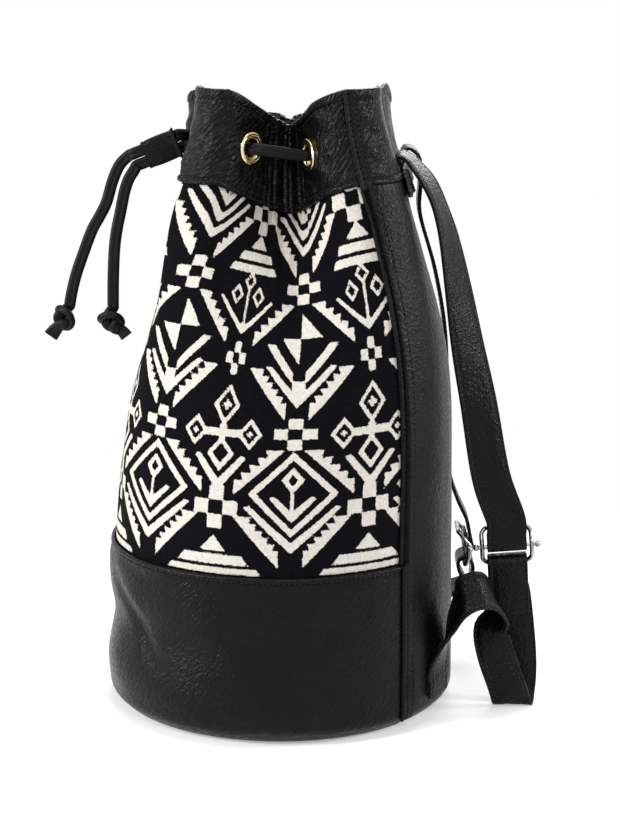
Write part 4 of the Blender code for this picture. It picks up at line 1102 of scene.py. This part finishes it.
def make_eyelets():
    """Half-round rings of pale gold, rolled over a washer inside."""
    outer, hole = EYELET_OUTER, EYELET_HOLE
    face = OVER_COLLAR
    top = [(outer - 0.00005, face), (outer, face + 0.0004)]
    middle = (outer + hole) / 2
    half = (outer - hole) / 2
    top += [(middle + half * math.cos(t), face + 0.0005 + 0.0010 * math.sin(t))
            for t in np.linspace(0.25, math.pi - 0.35, 12)]
    lip = -0.0009 - GAP
    barrel = hole + EYELET_WALL
    profile = top + [(hole, face - 0.0002), (hole, lip), (hole + 0.0004, lip - 0.0006),
                     (hole + 0.0012, lip - 0.0008), (barrel + 0.0012, lip - 0.0004),
                     (barrel + 0.0011, lip), (barrel, lip), (barrel, face)]
    washer = [(barrel + GAP, 0.0), (outer - 0.0010, 0.0), (outer - 0.0008, -0.0002),
              (outer - 0.0008, -0.0007), (outer - 0.0010, -0.0009), (barrel + GAP, -0.0009)]
    for number, (centre, _, normal) in enumerate(eyelet_places(), 1):
        ring = turned(f"eyelet_ring_{number}", centre, normal, profile, 64, [gold], 60.0)
        settle(ring, f"eyelet_{number}")
        inside = turned(f"washer_{number}", centre, normal, washer, 48, [gold])
        settle(inside, f"eyelet_washer_{number}")


# Cord, slider and knots

def directions(points):
    ahead = np.vstack((points[1:], points[-1:]))
    behind = np.vstack((points[:1], points[:-1]))
    return unit(ahead - behind)


def cord_section(count=28):
    """A flat folded cord cut through, creased down the middle of both faces."""
    turn = 2 * math.pi * (np.arange(count) + 0.5) / count
    across = np.cos(turn)
    crease = 0.55 * bell(across, 0.0, 0.13)
    thick = np.sign(np.sin(turn)) * (np.abs(np.sin(turn)) ** 0.75 - crease)
    return np.stack((across * CORD_WIDTH / 2, thick * CORD_THICKNESS / 2), axis=-1)


def band_along(name, points, wide, section, materials, scale=None, sharp=60.0):
    """A section of (across, thick) points carried along a line; wide is its direction across."""
    along = directions(points)
    wide = square_to(wide, along)
    thick = np.cross(along, wide)
    if scale is None:
        scale = np.ones((len(points), 2))
    spread = section[None] * scale[:, None]
    rings = points[:, None] + wide[:, None] * spread[..., :1] + thick[:, None] * spread[..., 1:]
    uv = lay_grid(wrapped(run_lengths(points)), section_lengths(section))
    return loft(name, rings, uv, materials, sharp=sharp)


def turned_wide(wide, along, angle):
    """The directions across, turned about the line by angles in radians."""
    other = np.cross(along, wide)
    return wide * np.cos(angle)[:, None] + other * np.sin(angle)[:, None]


def slider_axes():
    turn = math.radians(SLIDER_SLOPE)
    along = np.array((0.0, -math.cos(turn), -math.sin(turn)))
    up = np.array((0.0, -math.sin(turn), math.cos(turn)))
    return np.array(SLIDER_START), along, up


def cord_leads():
    """The straight runs of the two cords through the sleeve, upper and lower."""
    start, along, up = slider_axes()
    half = (CORD_WIDTH + CORD_GAP) / 2
    marks = (-SLIDER_TRAVEL_IN - 0.0010, -0.0010, 0.0020, SLIDER_LENGTH / 2, SLIDER_LENGTH,
             SLIDER_LENGTH + SLIDER_TRAVEL_OUT + 2 * GAP - CORD_JOINT)
    return [[start + up * (half * side) + along * d for d in marks] for side in (1, -1)]


def make_drawcord():
    """The cord through the eyelets, turned over once where it crosses the near gathers."""
    front_near, front_far, side_near, side_far, back_near, back_far = eyelet_places()
    upper, lower = cord_leads()

    def through(frame, sign):
        centre, _, normal = frame
        return [centre + normal * (d * sign) for d in (-0.0065, 0.0010, 0.0085)]

    behind = [skin_at(u, EYELET_HEIGHT, -d) for u, d in
              ((34.0, 0.0060), (46.0, 0.0100), (60.0, 0.0055), (76.0, 0.0026), (90.0, 0.0024),
               (104.0, 0.0026), (120.0, 0.0055), (134.0, 0.0100), (146.0, 0.0060))]
    route = list(reversed(lower)) + through(front_near, -1) + through(side_near, 1)
    first = len(route) - 2
    route += through(back_near, -1)
    last = len(route) - 2
    route += behind + through(back_far, 1) + through(side_far, -1)
    route += through(front_far, 1) + upper
    steps = 10
    points = catmull(route, steps=steps)
    along = directions(points)
    wide = unit(np.array((0.0, 0.0, 1.0)) - along * along[:, 2:])
    place = (np.arange(len(points)) / steps - first) / (last - first)
    roll = np.radians(-38.0 + 76.0 * smooth(place, 0.15, 0.85))
    roll = roll * smooth(place, -0.35, 0.1) * (1 - smooth(place, 0.9, 1.35))
    wide = turned_wide(wide, along, roll)
    piece = band_along("draw_cord", points, wide, cord_section(), [cord_finish])
    settle(piece, "drawcord")


def knot_points(stop, way, centre, tail):
    """An overhand knot's middle line, from the cord's end to its tail."""
    down = unit(tail - stop)
    toward = square_to(np.array((1.0, 0.0, 0.0)), down)
    side = np.cross(down, toward)
    local = ((-1.5, 3.0, -1.5), (3.0, 3.6, -3.0), (5.4, 0.0, -2.6), (3.6, -4.2, 0.0),
             (-0.5, -4.4, 2.8), (-3.8, -0.5, 3.8), (-3.6, 4.2, 1.4), (-1.2, 4.6, -2.6),
             (0.8, 0.2, -4.2), (2.2, -4.0, -1.4), (3.6, -2.4, 2.8), (6.0, 0.2, 1.6))
    knotted = [centre + (down * a + side * b + toward * c) / MILLIMETRES for a, b, c in local]
    line = [stop + way * GAP, stop + way * 0.0016] + knotted
    return catmull(line + [centre + (tail - centre) * 0.66, tail], steps=7)


def make_knot(name, node, route, centre, tail):
    stop = np.array(route[-1])
    way = unit(stop - np.array(route[-2]))
    points = knot_points(stop, way, np.array(centre), np.array(tail))
    along = directions(points)
    wide = np.empty_like(points)
    wide[0] = unit(np.cross(along[0], (1.0, 0.0, 0.0)))
    for k in range(1, len(points)):
        wide[k] = square_to(wide[k - 1], along[k])
    place = np.linspace(0.0, 1.0, len(points))
    width = 0.95 + 0.05 * smooth(place, 0.08, 0.25) + 0.30 * smooth(place, 0.86, 1.0)
    thick = 0.95 + 0.20 * smooth(place, 0.1, 0.3) - 0.30 * smooth(place, 0.88, 1.0)
    ends = smooth(place, 0.0, 0.02)
    scale = np.stack((width * (0.7 + 0.3 * ends), thick * (0.7 + 0.3 * ends)), axis=-1)
    piece = band_along(name, points, wide, cord_section(20), [cord_finish], scale)
    settle(piece, node)
    return piece


def make_free_cords():
    _, along, _ = slider_axes()
    upper, lower = cord_leads()
    ends = (("outer", upper[-1], OUTER_ROUTE, OUTER_KNOT, OUTER_TAIL),
            ("inner", lower[-1], INNER_ROUTE, INNER_KNOT, INNER_TAIL))
    for side, lead, route, centre, tail in ends:
        first = lead + along * CORD_JOINT
        dense = catmull([first, first + along * 0.003] + [np.array(p) for p in route], steps=8)
        points = evenly(dense, 0.0016)
        wide = unit(np.cross((1.0, 0.0, 0.0), directions(points)))
        piece = band_along(f"free_cord_{side}", points, wide, cord_section(), [cord_finish])
        settle(piece, f"cord_end_{side}")
        end = make_knot(f"tied_knot_{side}", f"knot_{side}", route, centre, tail)


def make_slider():
    """A folded sleeve round both cords, its two edges stitched together on top."""
    start, along, up = slider_axes()
    side = np.cross(along, up)
    inner_up = CORD_WIDTH + CORD_GAP / 2 + GAP
    inner_side = CORD_THICKNESS / 2 + GAP
    wall = 0.0009
    outer_up = inner_up + wall
    outer_side = inner_side + wall

    def outline(tall, wide, corner, count=7):
        result = []
        for cx, cy, first in ((tall, wide, 0.0), (-tall, wide, 90.0), (-tall, -wide, 180.0),
                              (tall, -wide, 270.0)):
            for k in range(count):
                turn = math.radians(first + 90.0 * k / (count - 1))
                result.append((cx - math.copysign(corner, cx) + corner * math.cos(turn),
                               cy - math.copysign(corner, cy) + corner * math.sin(turn)))
        return np.array(result)

    outer = outline(outer_up, outer_side, 0.0022)
    inner = outline(inner_up, inner_side, 0.0016)
    outside = ((0.0, 0.0012), (0.0004, 0.0013), (0.0015, 0.0007), (0.0023, 0.0), (0.0032, 0.0001),
               (0.0070, 0.0002), (0.0110, 0.0003), (0.0150, 0.0002), (0.0185, 0.0),
               (0.0194, -0.0002), (0.0202, 0.0), (0.0213, 0.0), (0.0217, -0.0002))
    inside = ((0.0215, 0.0002), (0.0108, 0.0), (0.0045, 0.0002), (0.0002, 0.0015))
    rings = []
    for shape, stations in ((outer, outside), (inner, inside)):
        for d, swell in stations:
            ring = shape + np.sign(shape) * swell
            rings.append(start + along * d + ring[:, :1] * up + ring[:, 1:] * side)
    rings = np.array(rings)
    uv = lay_grid(np.arange(len(rings) + 1) * 0.002, section_lengths(outer))
    piece = loft("slider_sleeve", rings, uv, [trim_leather], closed=True, sharp=50.0)
    settle(piece, "cord_slider", "slider")
    lines = []
    for d in (0.0023, 0.0194):
        for sign in (1.0, -1.0):
            lines.append([start + along * d + up * a + side * sign * (outer_side + 0.0001)
                          for a in np.linspace(-0.0062, 0.0062, 9)])
    for sign in (1.0, -1.0):
        lines.append([start + along * d + up * 0.0064 + side * sign * (outer_side + 0.0001)
                      for d in np.linspace(0.0032, 0.0185, 9)])
    make_stitches("slider_stitches", lines, 0.0021, 0.0015, 0.00020, "slider")


# Straps and buckles

def strap_section():
    """A strap cut through: two leathers glued back to back, stitched near both edges."""
    half = STRAP_WIDTH / 2
    thick = STRAP_THICKNESS / 2
    groove = thick - 0.00025
    edge = [(half - 0.0002, 0.0001), (half, 0.0004), (half - 0.0001, 0.0008),
            (half - 0.0005, thick), (half - 0.0015, thick), (half - 0.0019, groove),
            (half - 0.0025, groove), (half - 0.0029, thick), (half * 0.5, thick), (0.0, thick)]
    upper = edge + [(-w, t) for w, t in reversed(edge[:-1])]
    return np.array(upper + [(w, -t) for w, t in reversed(upper)])


def strap_route(stations, spacing=0.0022):
    """Even points along a strap with their directions across."""
    rows = [np.concatenate((np.asarray(p, float), np.asarray(w, float))) for p, w in stations]
    dense = catmull(rows, steps=12)
    lengths = run_lengths(dense[:, :3])
    marks = np.linspace(0.0, lengths[-1], int(lengths[-1] / spacing) + 2)
    line = at_marks(marks, lengths, dense)
    line[:, 2] = np.maximum(line[:, 2], STRAP_THICKNESS / 2 + 0.0003)
    return line[:, :3], unit(line[:, 3:])


def sewn_end(u, heights, offset, flip=1.0):
    stations = []
    for h in heights:
        point, across, _ = skin_frame(u, h, offset + STRAP_THICKNESS / 2)
        stations.append((point, across * flip))
    return stations


def buckle_axes(centre, down, outward):
    down = unit(np.array(down, float))
    outward = square_to(np.array(outward, float), down)
    return np.array(centre, float), down, outward, np.cross(outward, down)


def buckle_point(axes, out, drop, across=0.0):
    centre, down, outward, side = axes
    return centre + outward * out + down * drop + side * across


def bow(drop):
    return -FRAME_BOW * (drop / (FRAME_HEIGHT / 2)) ** 2


def loop_stations(axes):
    turn = BAR_RADIUS + GAP + STRAP_THICKNESS / 2
    local = ((turn, -0.018), (turn, -0.008), (turn, 0.0), (turn * 0.7, turn * 0.75), (0.0, turn),
             (-turn * 0.7, turn * 0.75), (-turn, 0.0), (-turn * 0.8, -0.0035), (0.0, -0.0085))
    return [(buckle_point(axes, out, drop), -axes[3]) for out, drop in local]


def slip_stations(axes, tail_length):
    lower = (FRAME_HEIGHT - FRAME_WIRE) / 2
    back = bow(lower)
    turn = FRAME_WIRE / 2 + LOOP_PLAY + STRAP_THICKNESS / 2
    local = ((back - turn * 0.75, lower + 0.014), (back - turn, lower + 0.004),
             (back - turn, lower), (back - turn * 0.7, lower - turn * 0.72), (back, lower - turn),
             (back + turn * 0.7, lower - turn * 0.72), (back + turn, lower),
             (back + turn, lower + 0.004), (back + turn * 0.45, lower + 0.014),
             (back + turn * 0.35, lower + tail_length))
    return [(buckle_point(axes, out, drop), -axes[3]) for out, drop in local]


STRAP_STITCHES = []


def make_strap(name, node, stations, box=None):
    points, across = strap_route(stations)
    piece = band_along(name, points, across, strap_section(), [strap_leather], sharp=40.0)
    for vertex in piece.data.vertices:
        vertex.co.z = max(vertex.co.z, FLOOR_PLAY)
    settle(piece, node)
    along = directions(points)
    wide = square_to(across, along)
    face = np.cross(along, wide)
    level = STRAP_THICKNESS / 2 - 0.0001
    for edge in (-1.0, 1.0):
        for side in (-1.0, 1.0):
            line = points + wide * (edge * (STRAP_WIDTH / 2 - STITCH_INSET)) + face * (side * level)
            line[:, 2] = np.maximum(line[:, 2], FLOOR_PLAY + 2 * THREAD)
            STRAP_STITCHES.append(line[1:-1])
    if box is not None:
        nearest = int(np.argmin(np.linalg.norm(points - np.array(box), axis=1)))
        rows = slice(nearest - 2, nearest + 3)
        half = STRAP_WIDTH / 2 - 0.0050
        for side in (-1.0, 1.0):
            raised = points + face * (side * (level + 0.0003))
            for edge in (-half, half):
                STRAP_STITCHES.append((raised + wide * edge)[rows])
            for row in (nearest - 2, nearest + 2):
                marks = np.linspace(-half, half, 7)
                STRAP_STITCHES.append([raised[row] + wide[row] * a for a in marks])


def make_straps():
    near = buckle_axes(*NEAR_BUCKLE)
    far = buckle_axes(*FAR_BUCKLE)
    root_rows = [ROOT_HEIGHT + d for d in (-0.016, -0.008, 0.0)]
    foot_rows = [LOWER_END_HEIGHT + d for d in (-0.014, -0.004, 0.004)]
    make_strap("shoulder_strap_near", "upper_strap_near",
               sewn_end(ROOT_ANGLE, root_rows, OVER_HEM, -1.0) + list(NEAR_UPPER)
               + loop_stations(near))
    far_down = [(skin_at(u, h, 0.0070), (1.0, 0.0, 0.0)) for u, h in FAR_UPPER_DOWN]
    make_strap("shoulder_strap_far", "upper_strap_far",
               sewn_end(180.0 - ROOT_ANGLE, root_rows, OVER_HEM, -1.0) + list(FAR_UPPER_TOP)
               + far_down + list(FAR_UPPER_LOW) + loop_stations(far))
    make_strap("adjusting_strap_near", "lower_strap_near",
               sewn_end(LOWER_END_ANGLE, foot_rows, OVER_BODY) + list(NEAR_LOWER)
               + slip_stations(near, NEAR_TAIL), box=NEAR_BOX)
    make_strap("adjusting_strap_far", "lower_strap_far",
               sewn_end(180.0 - LOWER_END_ANGLE, foot_rows, OVER_BODY, -1.0) + list(FAR_LOWER)
               + slip_stations(far, FAR_TAIL))
    for side, axes in (("near", near), ("far", far)):
        make_buckle(side, axes)


def frame_line():
    """The buckle frame's middle line and outward directions, with round corners."""
    wide = (FRAME_WIDTH - FRAME_WIRE) / 2
    tall = (FRAME_HEIGHT - FRAME_WIRE) / 2
    quarter = [(wide, y, 1.0, 0.0) for y in np.linspace(0.0, tall - FRAME_CORNER, 7)[:-1]]
    for t in np.linspace(0.0, math.pi / 2, 12):
        a, b = math.cos(t), math.sin(t)
        quarter.append((wide - FRAME_CORNER * (1 - a), tall - FRAME_CORNER * (1 - b), a, b))
    quarter += [(x, tall, 0.0, 1.0) for x in np.linspace(wide - FRAME_CORNER, 0.0, 9)[1:]]
    upper = quarter + [(-x, y, -a, b) for x, y, a, b in reversed(quarter[:-1])]
    return upper + [(x, -y, a, -b) for x, y, a, b in reversed(upper[1:-1])]


def make_buckle(side, axes):
    """A bowed frame of round wire, flattened into eyes on the bar, and a bar with ball ends."""
    half = FRAME_WIRE / 2
    rings = []
    for x, y, away_x, away_y in frame_line():
        eye = 1.0 - smooth(abs(y), 0.0020, 0.0058)
        ring = []
        for k in range(16):
            turn = 2 * math.pi * k / 16
            edge = half * math.cos(turn)
            level = (half + 0.0011 * eye) * math.sin(turn)
            ring.append(buckle_point(axes, bow(y) + level, y + away_y * edge, x + away_x * edge))
        rings.append(ring)
    rings = np.array(rings)
    frame_piece = loft(f"slide_frame_{side}", rings, np.zeros((len(rings) + 1, 17, 2)), [nickel],
                       closed=True, sharp=60.0)
    settle(frame_piece, f"buckle_frame_{side}", f"{side}_frame")
    seat = FRAME_WIDTH / 2 + GAP
    ball = 0.0023
    profile = [(0.0, seat - 0.0002), (BAR_RADIUS, seat)]
    profile += [(ball * math.sin(t), seat + 0.0020 - ball * 0.86 * math.cos(t))
                for t in np.linspace(0.62, math.pi - 0.05, 14)]
    stations = [(-a, r) for r, a in reversed(profile[1:])] + [(a, r) for r, a in profile[1:]]
    line = np.array([buckle_point(axes, 0.0, 0.0, a) for a, _ in stations])
    radii = np.array([r for _, r in stations])
    turn = 2 * math.pi * np.arange(28) / 28
    circle = np.cos(turn)[:, None] * axes[1] + np.sin(turn)[:, None] * axes[2]
    rings = line[:, None] + circle * radii[:, None, None]
    bar = loft(f"cross_bar_{side}", rings, np.zeros((len(rings) + 1, 29, 2)), [nickel], sharp=60.0)
    settle(bar, f"buckle_bar_{side}")


def patch_offset(u):
    """The under face of the patch: stepped up over the two strap roots."""
    angle, _ = side_angle(u)
    step = smooth(angle, PATCH_EDGE - 3.0, PATCH_EDGE - 1.2)
    return OVER_HEM + (STRAP_THICKNESS + GAP) * step


def make_patch():
    """The stitched leather patch that covers both strap roots."""
    top = ROOT_HEIGHT - 0.0015
    low = top - PATCH_HEIGHT
    thick = PATCH_LEATHER
    columns = np.linspace(PATCH_EDGE - 6.0, 180.0 - PATCH_EDGE + 6.0, 90)
    rows = [(low, 0.0002), (low, 0.0009), (low + 0.0004, thick), (low + 0.0012, thick),
            (low + 0.0016, thick - 0.0003), (low + 0.0020, thick)]
    rows += rise(low + 0.0026, top - 0.0026, 12, thick)
    rows += [(top - 0.0020, thick), (top - 0.0016, thick - 0.0003), (top - 0.0012, thick),
             (top - 0.0004, thick), (top, 0.0009), (top, 0.0002)]
    rows += rise(top - 0.0005, low + 0.0005, 10, 0.0)
    section = np.array(rows)
    ends = np.minimum(columns - columns[0], columns[-1] - columns)
    lift = 1.0 - 0.55 * (1 - smooth(ends, 0.0, 0.5))
    offset = patch_offset(columns)[:, None] + section[None, :, 1] * lift[:, None]
    rings = skin_at(columns[:, None], section[None, :, 0], offset)
    across = np.append(section[:, 0], section[0, 0])
    uv = lay_grid(np.radians(wrapped(columns)) * PATCH_RADIUS, across)
    piece = loft("root_patch", rings, uv, [trim_leather])
    settle(piece, "strap_patch")
    stitched = columns[2:-2]
    rows = (low + 0.0016, top - 0.0016)
    lines = [skin_at(stitched, h, patch_offset(stitched) + thick - 0.0001) for h in rows]
    heights = np.linspace(*rows, 12)
    return lines + [skin_at(u, heights, patch_offset(u) + thick)
                    for u in (columns[0] + 1.2, columns[-1] - 1.2)]


# Stitches, by Geometry Nodes

def stitch_tree():
    """Lays a small thread bead at even steps along every line of a wire mesh."""
    tree = bpy.data.node_groups.new("lay_stitches", "GeometryNodeTree")
    tree.interface.new_socket("Geometry", in_out="INPUT", socket_type="NodeSocketGeometry")
    for name in ("Pitch", "Length", "Thread"):
        tree.interface.new_socket(name, in_out="INPUT", socket_type="NodeSocketFloat")
    tree.interface.new_socket("Finish", in_out="INPUT", socket_type="NodeSocketMaterial")
    tree.interface.new_socket("Geometry", in_out="OUTPUT", socket_type="NodeSocketGeometry")

    def add(kind, links=None, **settings):
        return wired(tree, kind, links, **settings).outputs

    given = add("NodeGroupInput")
    curve = add("GeometryNodeMeshToCurve", {"Mesh": given["Geometry"]})
    spots = add("GeometryNodeCurveToPoints", {"Curve": curve["Curve"], "Length": given["Pitch"]},
                mode="LENGTH")
    align = add("FunctionNodeAlignRotationToVector", {"Vector": spots["Tangent"]}, axis="Z")
    half = add("ShaderNodeMath", {0: given["Length"], 1: 0.5}, operation="MULTIPLY")
    size = add("ShaderNodeCombineXYZ", {"X": given["Thread"], "Y": given["Thread"], "Z": half[0]})
    bead = add("GeometryNodeMeshUVSphere", {"Segments": 6, "Rings": 4, "Radius": 1.0})
    beads = add("GeometryNodeInstanceOnPoints",
                {"Points": spots["Points"], "Instance": bead["Mesh"],
                 "Rotation": align["Rotation"], "Scale": size["Vector"]})
    soft = add("GeometryNodeSetShadeSmooth", {"Geometry": beads["Instances"]})
    real = add("GeometryNodeRealizeInstances", {"Geometry": soft["Geometry"]})
    dress = add("GeometryNodeSetMaterial",
                {"Geometry": real["Geometry"], "Material": given["Finish"]})
    add("NodeGroupOutput", {"Geometry": dress["Geometry"]})
    return tree


STITCHER = stitch_tree()


def make_stitches(name, lines, pitch, length, radius, body):
    verts = []
    edges = []
    for line in lines:
        first = len(verts)
        verts += [tuple(map(float, p)) for p in line]
        edges += [(first + k, first + k + 1) for k in range(len(line) - 1)]
    mesh = bpy.data.meshes.new(name)
    mesh.from_pydata(verts, edges, [])
    obj = add_object(name, mesh)
    modifier = obj.modifiers.new("stitches", "NODES")
    modifier.node_group = STITCHER
    values = {"Pitch": pitch, "Length": length, "Thread": radius, "Finish": thread}
    for item in STITCHER.interface.items_tree:
        if item.in_out == "INPUT" and item.name in values:
            modifier[item.identifier] = values[item.name]
    plain_mesh(obj)
    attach(obj, body)


def body_stitch_lines():
    round_all = stitch_columns(FRONT_FIRST, FRONT_FIRST + 360.0, 0.7, 1.2)
    front = stitch_columns(FRONT_FIRST + 3.0, FRONT_LAST - 3.0, 0.7, 1.2)
    lines = [skin_at(round_all, WAIST_STITCH, COLLAR_OUT - 0.0004),
             skin_at(round_all, HEM_STITCH, COLLAR_OUT - 0.0003),
             skin_at(front, BAND_STITCH, BODY_OUT - 0.0003)]
    for far in (False, True):
        for share, lift in ((-0.30, 0.0009), (0.71, 0.0010)):
            u = SEAM_ANGLE + share * STRIP_HALF
            u = 180.0 - u if far else u
            for low, high in ((0.012, BAND_HEIGHT), (BAND_HEIGHT + 0.0018, WAIST_HEIGHT - 0.004),
                              (WAIST_HEIGHT - 0.001, RIM_HEIGHT - 0.001)):
                rows = np.linspace(low, high, 60)
                lines.append(skin_at(u, rows, strip_offset(u, (rows + high) / 2) + lift))
    return lines


# The whole bag

band = make_band()
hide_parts("lower_band")
cloth = make_cloth()
figure_attribute(cloth)
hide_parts("fabric_panel")
back = make_back()
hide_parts("back_panel")
collar_piece = make_collar()
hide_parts("collar_front", "collar_back")
for piece in (band, cloth, back, collar_piece, make_strip("near"), make_strip("far")):
    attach(piece, BAG)
make_eyelets()
make_drawcord()
make_slider()
make_free_cords()
make_straps()
for name, lines in (("body_stitches", body_stitch_lines() + make_patch()),
                    ("strap_stitches", STRAP_STITCHES)):
    make_stitches(name, lines, STITCH_PITCH, STITCH_LENGTH, THREAD, BAG)
for name, finish in (("base_panel", back_leather), ("base_board", board)):
    node = bpy.data.objects[name]
    node.data.materials.clear()
    node.data.materials.append(finish)


# Camera, floor and light

def add_camera():
    data = bpy.data.cameras.new("camera")
    data.sensor_fit = "AUTO"
    data.sensor_width = SENSOR
    data.lens = FOCAL_PIXELS * SENSOR / PICTURE_HEIGHT
    camera = add_object("camera", data)
    camera.location = CAMERA_PLACE
    camera.rotation_euler = (math.radians(90.0 - CAMERA_DOWN), 0.0, math.radians(90.0))
    bpy.context.scene.camera = camera


def seen_rays(tree):
    """1 for the rays that show a background: camera, glossy and transmission ones."""
    path = wired(tree, "ShaderNodeLightPath").outputs
    total = path["Is Camera Ray"]
    for name in ("Is Glossy Ray", "Is Transmission Ray"):
        join = wired(tree, "ShaderNodeMath", {0: total, 1: path[name]}, operation="MAXIMUM")
        total = join.outputs[0]
    return total


def add_world():
    world = bpy.data.worlds.new("studio")
    bpy.context.scene.world = world
    world.use_nodes = True
    tree = world.node_tree
    background = tree.nodes["Background"]
    background.inputs["Color"].default_value = (1.0, 1.0, 1.0, 1.0)
    span = wired(tree, "ShaderNodeMapRange",
                 {"Value": seen_rays(tree), "To Min": WORLD_LEVEL, "To Max": 1.0})
    tree.links.new(span.outputs["Result"], background.inputs["Strength"])


def add_floor():
    mesh = bpy.data.meshes.new("floor")
    mesh.from_pydata([(-6, -6, 0), (6, -6, 0), (6, 6, 0), (-6, 6, 0)], [], [(0, 1, 2, 3)])
    floor = add_object("floor", mesh)
    finish = bpy.data.materials.new("white_floor")
    finish.use_nodes = True
    tree = finish.node_tree
    shader = tree.nodes["Principled BSDF"]
    values = {"Base Color": (0.80, 0.80, 0.80, 1.0), "Roughness": 0.9, "Specular IOR Level": 0.0,
              "Emission Color": (1.0, 1.0, 1.0, 1.0)}
    for key, value in values.items():
        shader.inputs[key].default_value = value
    glow = wired(tree, "ShaderNodeMath", {0: seen_rays(tree), 1: FLOOR_GLOW}, operation="MULTIPLY")
    tree.links.new(glow.outputs[0], shader.inputs["Emission Strength"])
    place = wired(tree, "ShaderNodeTexCoord").outputs["Object"]
    away = wired(tree, "ShaderNodeVectorMath", {0: place}, operation="LENGTH").outputs["Value"]
    span = wired(tree, "ShaderNodeMapRange",
                 {"Value": away, "From Min": SHADOW_REACH, "From Max": 2.0 * SHADOW_REACH},
                 interpolation_type="SMOOTHSTEP").outputs["Result"]
    share = wired(tree, "ShaderNodeMath", {0: span, 1: seen_rays(tree)}, operation="MULTIPLY")
    plain = wired(tree, "ShaderNodeEmission")
    join = wired(tree, "ShaderNodeMixShader",
                 {0: share.outputs[0], 1: shader.outputs[0], 2: plain.outputs[0]})
    tree.links.new(join.outputs[0], tree.nodes["Material Output"].inputs["Surface"])
    mesh.materials.append(finish)


def add_lamp(name, place, aim, size, power):
    data = bpy.data.lights.new(name, "AREA")
    data.shape = "DISK"
    data.size = size
    data.energy = power
    lamp = add_object(name, data)
    lamp.location = place
    way = Vector(aim) - Vector(place)
    lamp.rotation_euler = way.to_track_quat("-Z", "Y").to_euler()


add_camera()
add_world()
add_floor()
for lamp in (("key", (0.80, -1.10, 1.00), (0.0, 0.0, 0.20), 0.40, 10.5),
             ("left_side", (0.52, -1.28, 0.42), (0.0, 0.0, 0.12), 0.40, 10.0),
             ("right_side", (0.25, 1.40, 0.60), (0.0, 0.0, 0.20), 0.40, 11.0),
             ("front", (1.35, 0.35, 0.95), (0.0, 0.0, 0.25), 0.30, 5.0),
             ("top", (0.0, 0.0, 1.6), (0.0, 0.0, 0.1), 0.7, 9.0),
             ("back", (-1.2, 0.4, 0.9), (0.0, 0.0, 0.25), 0.9, 8.0)):
    add_lamp(*lamp)
bpy.context.scene.view_settings.view_transform = "Standard"
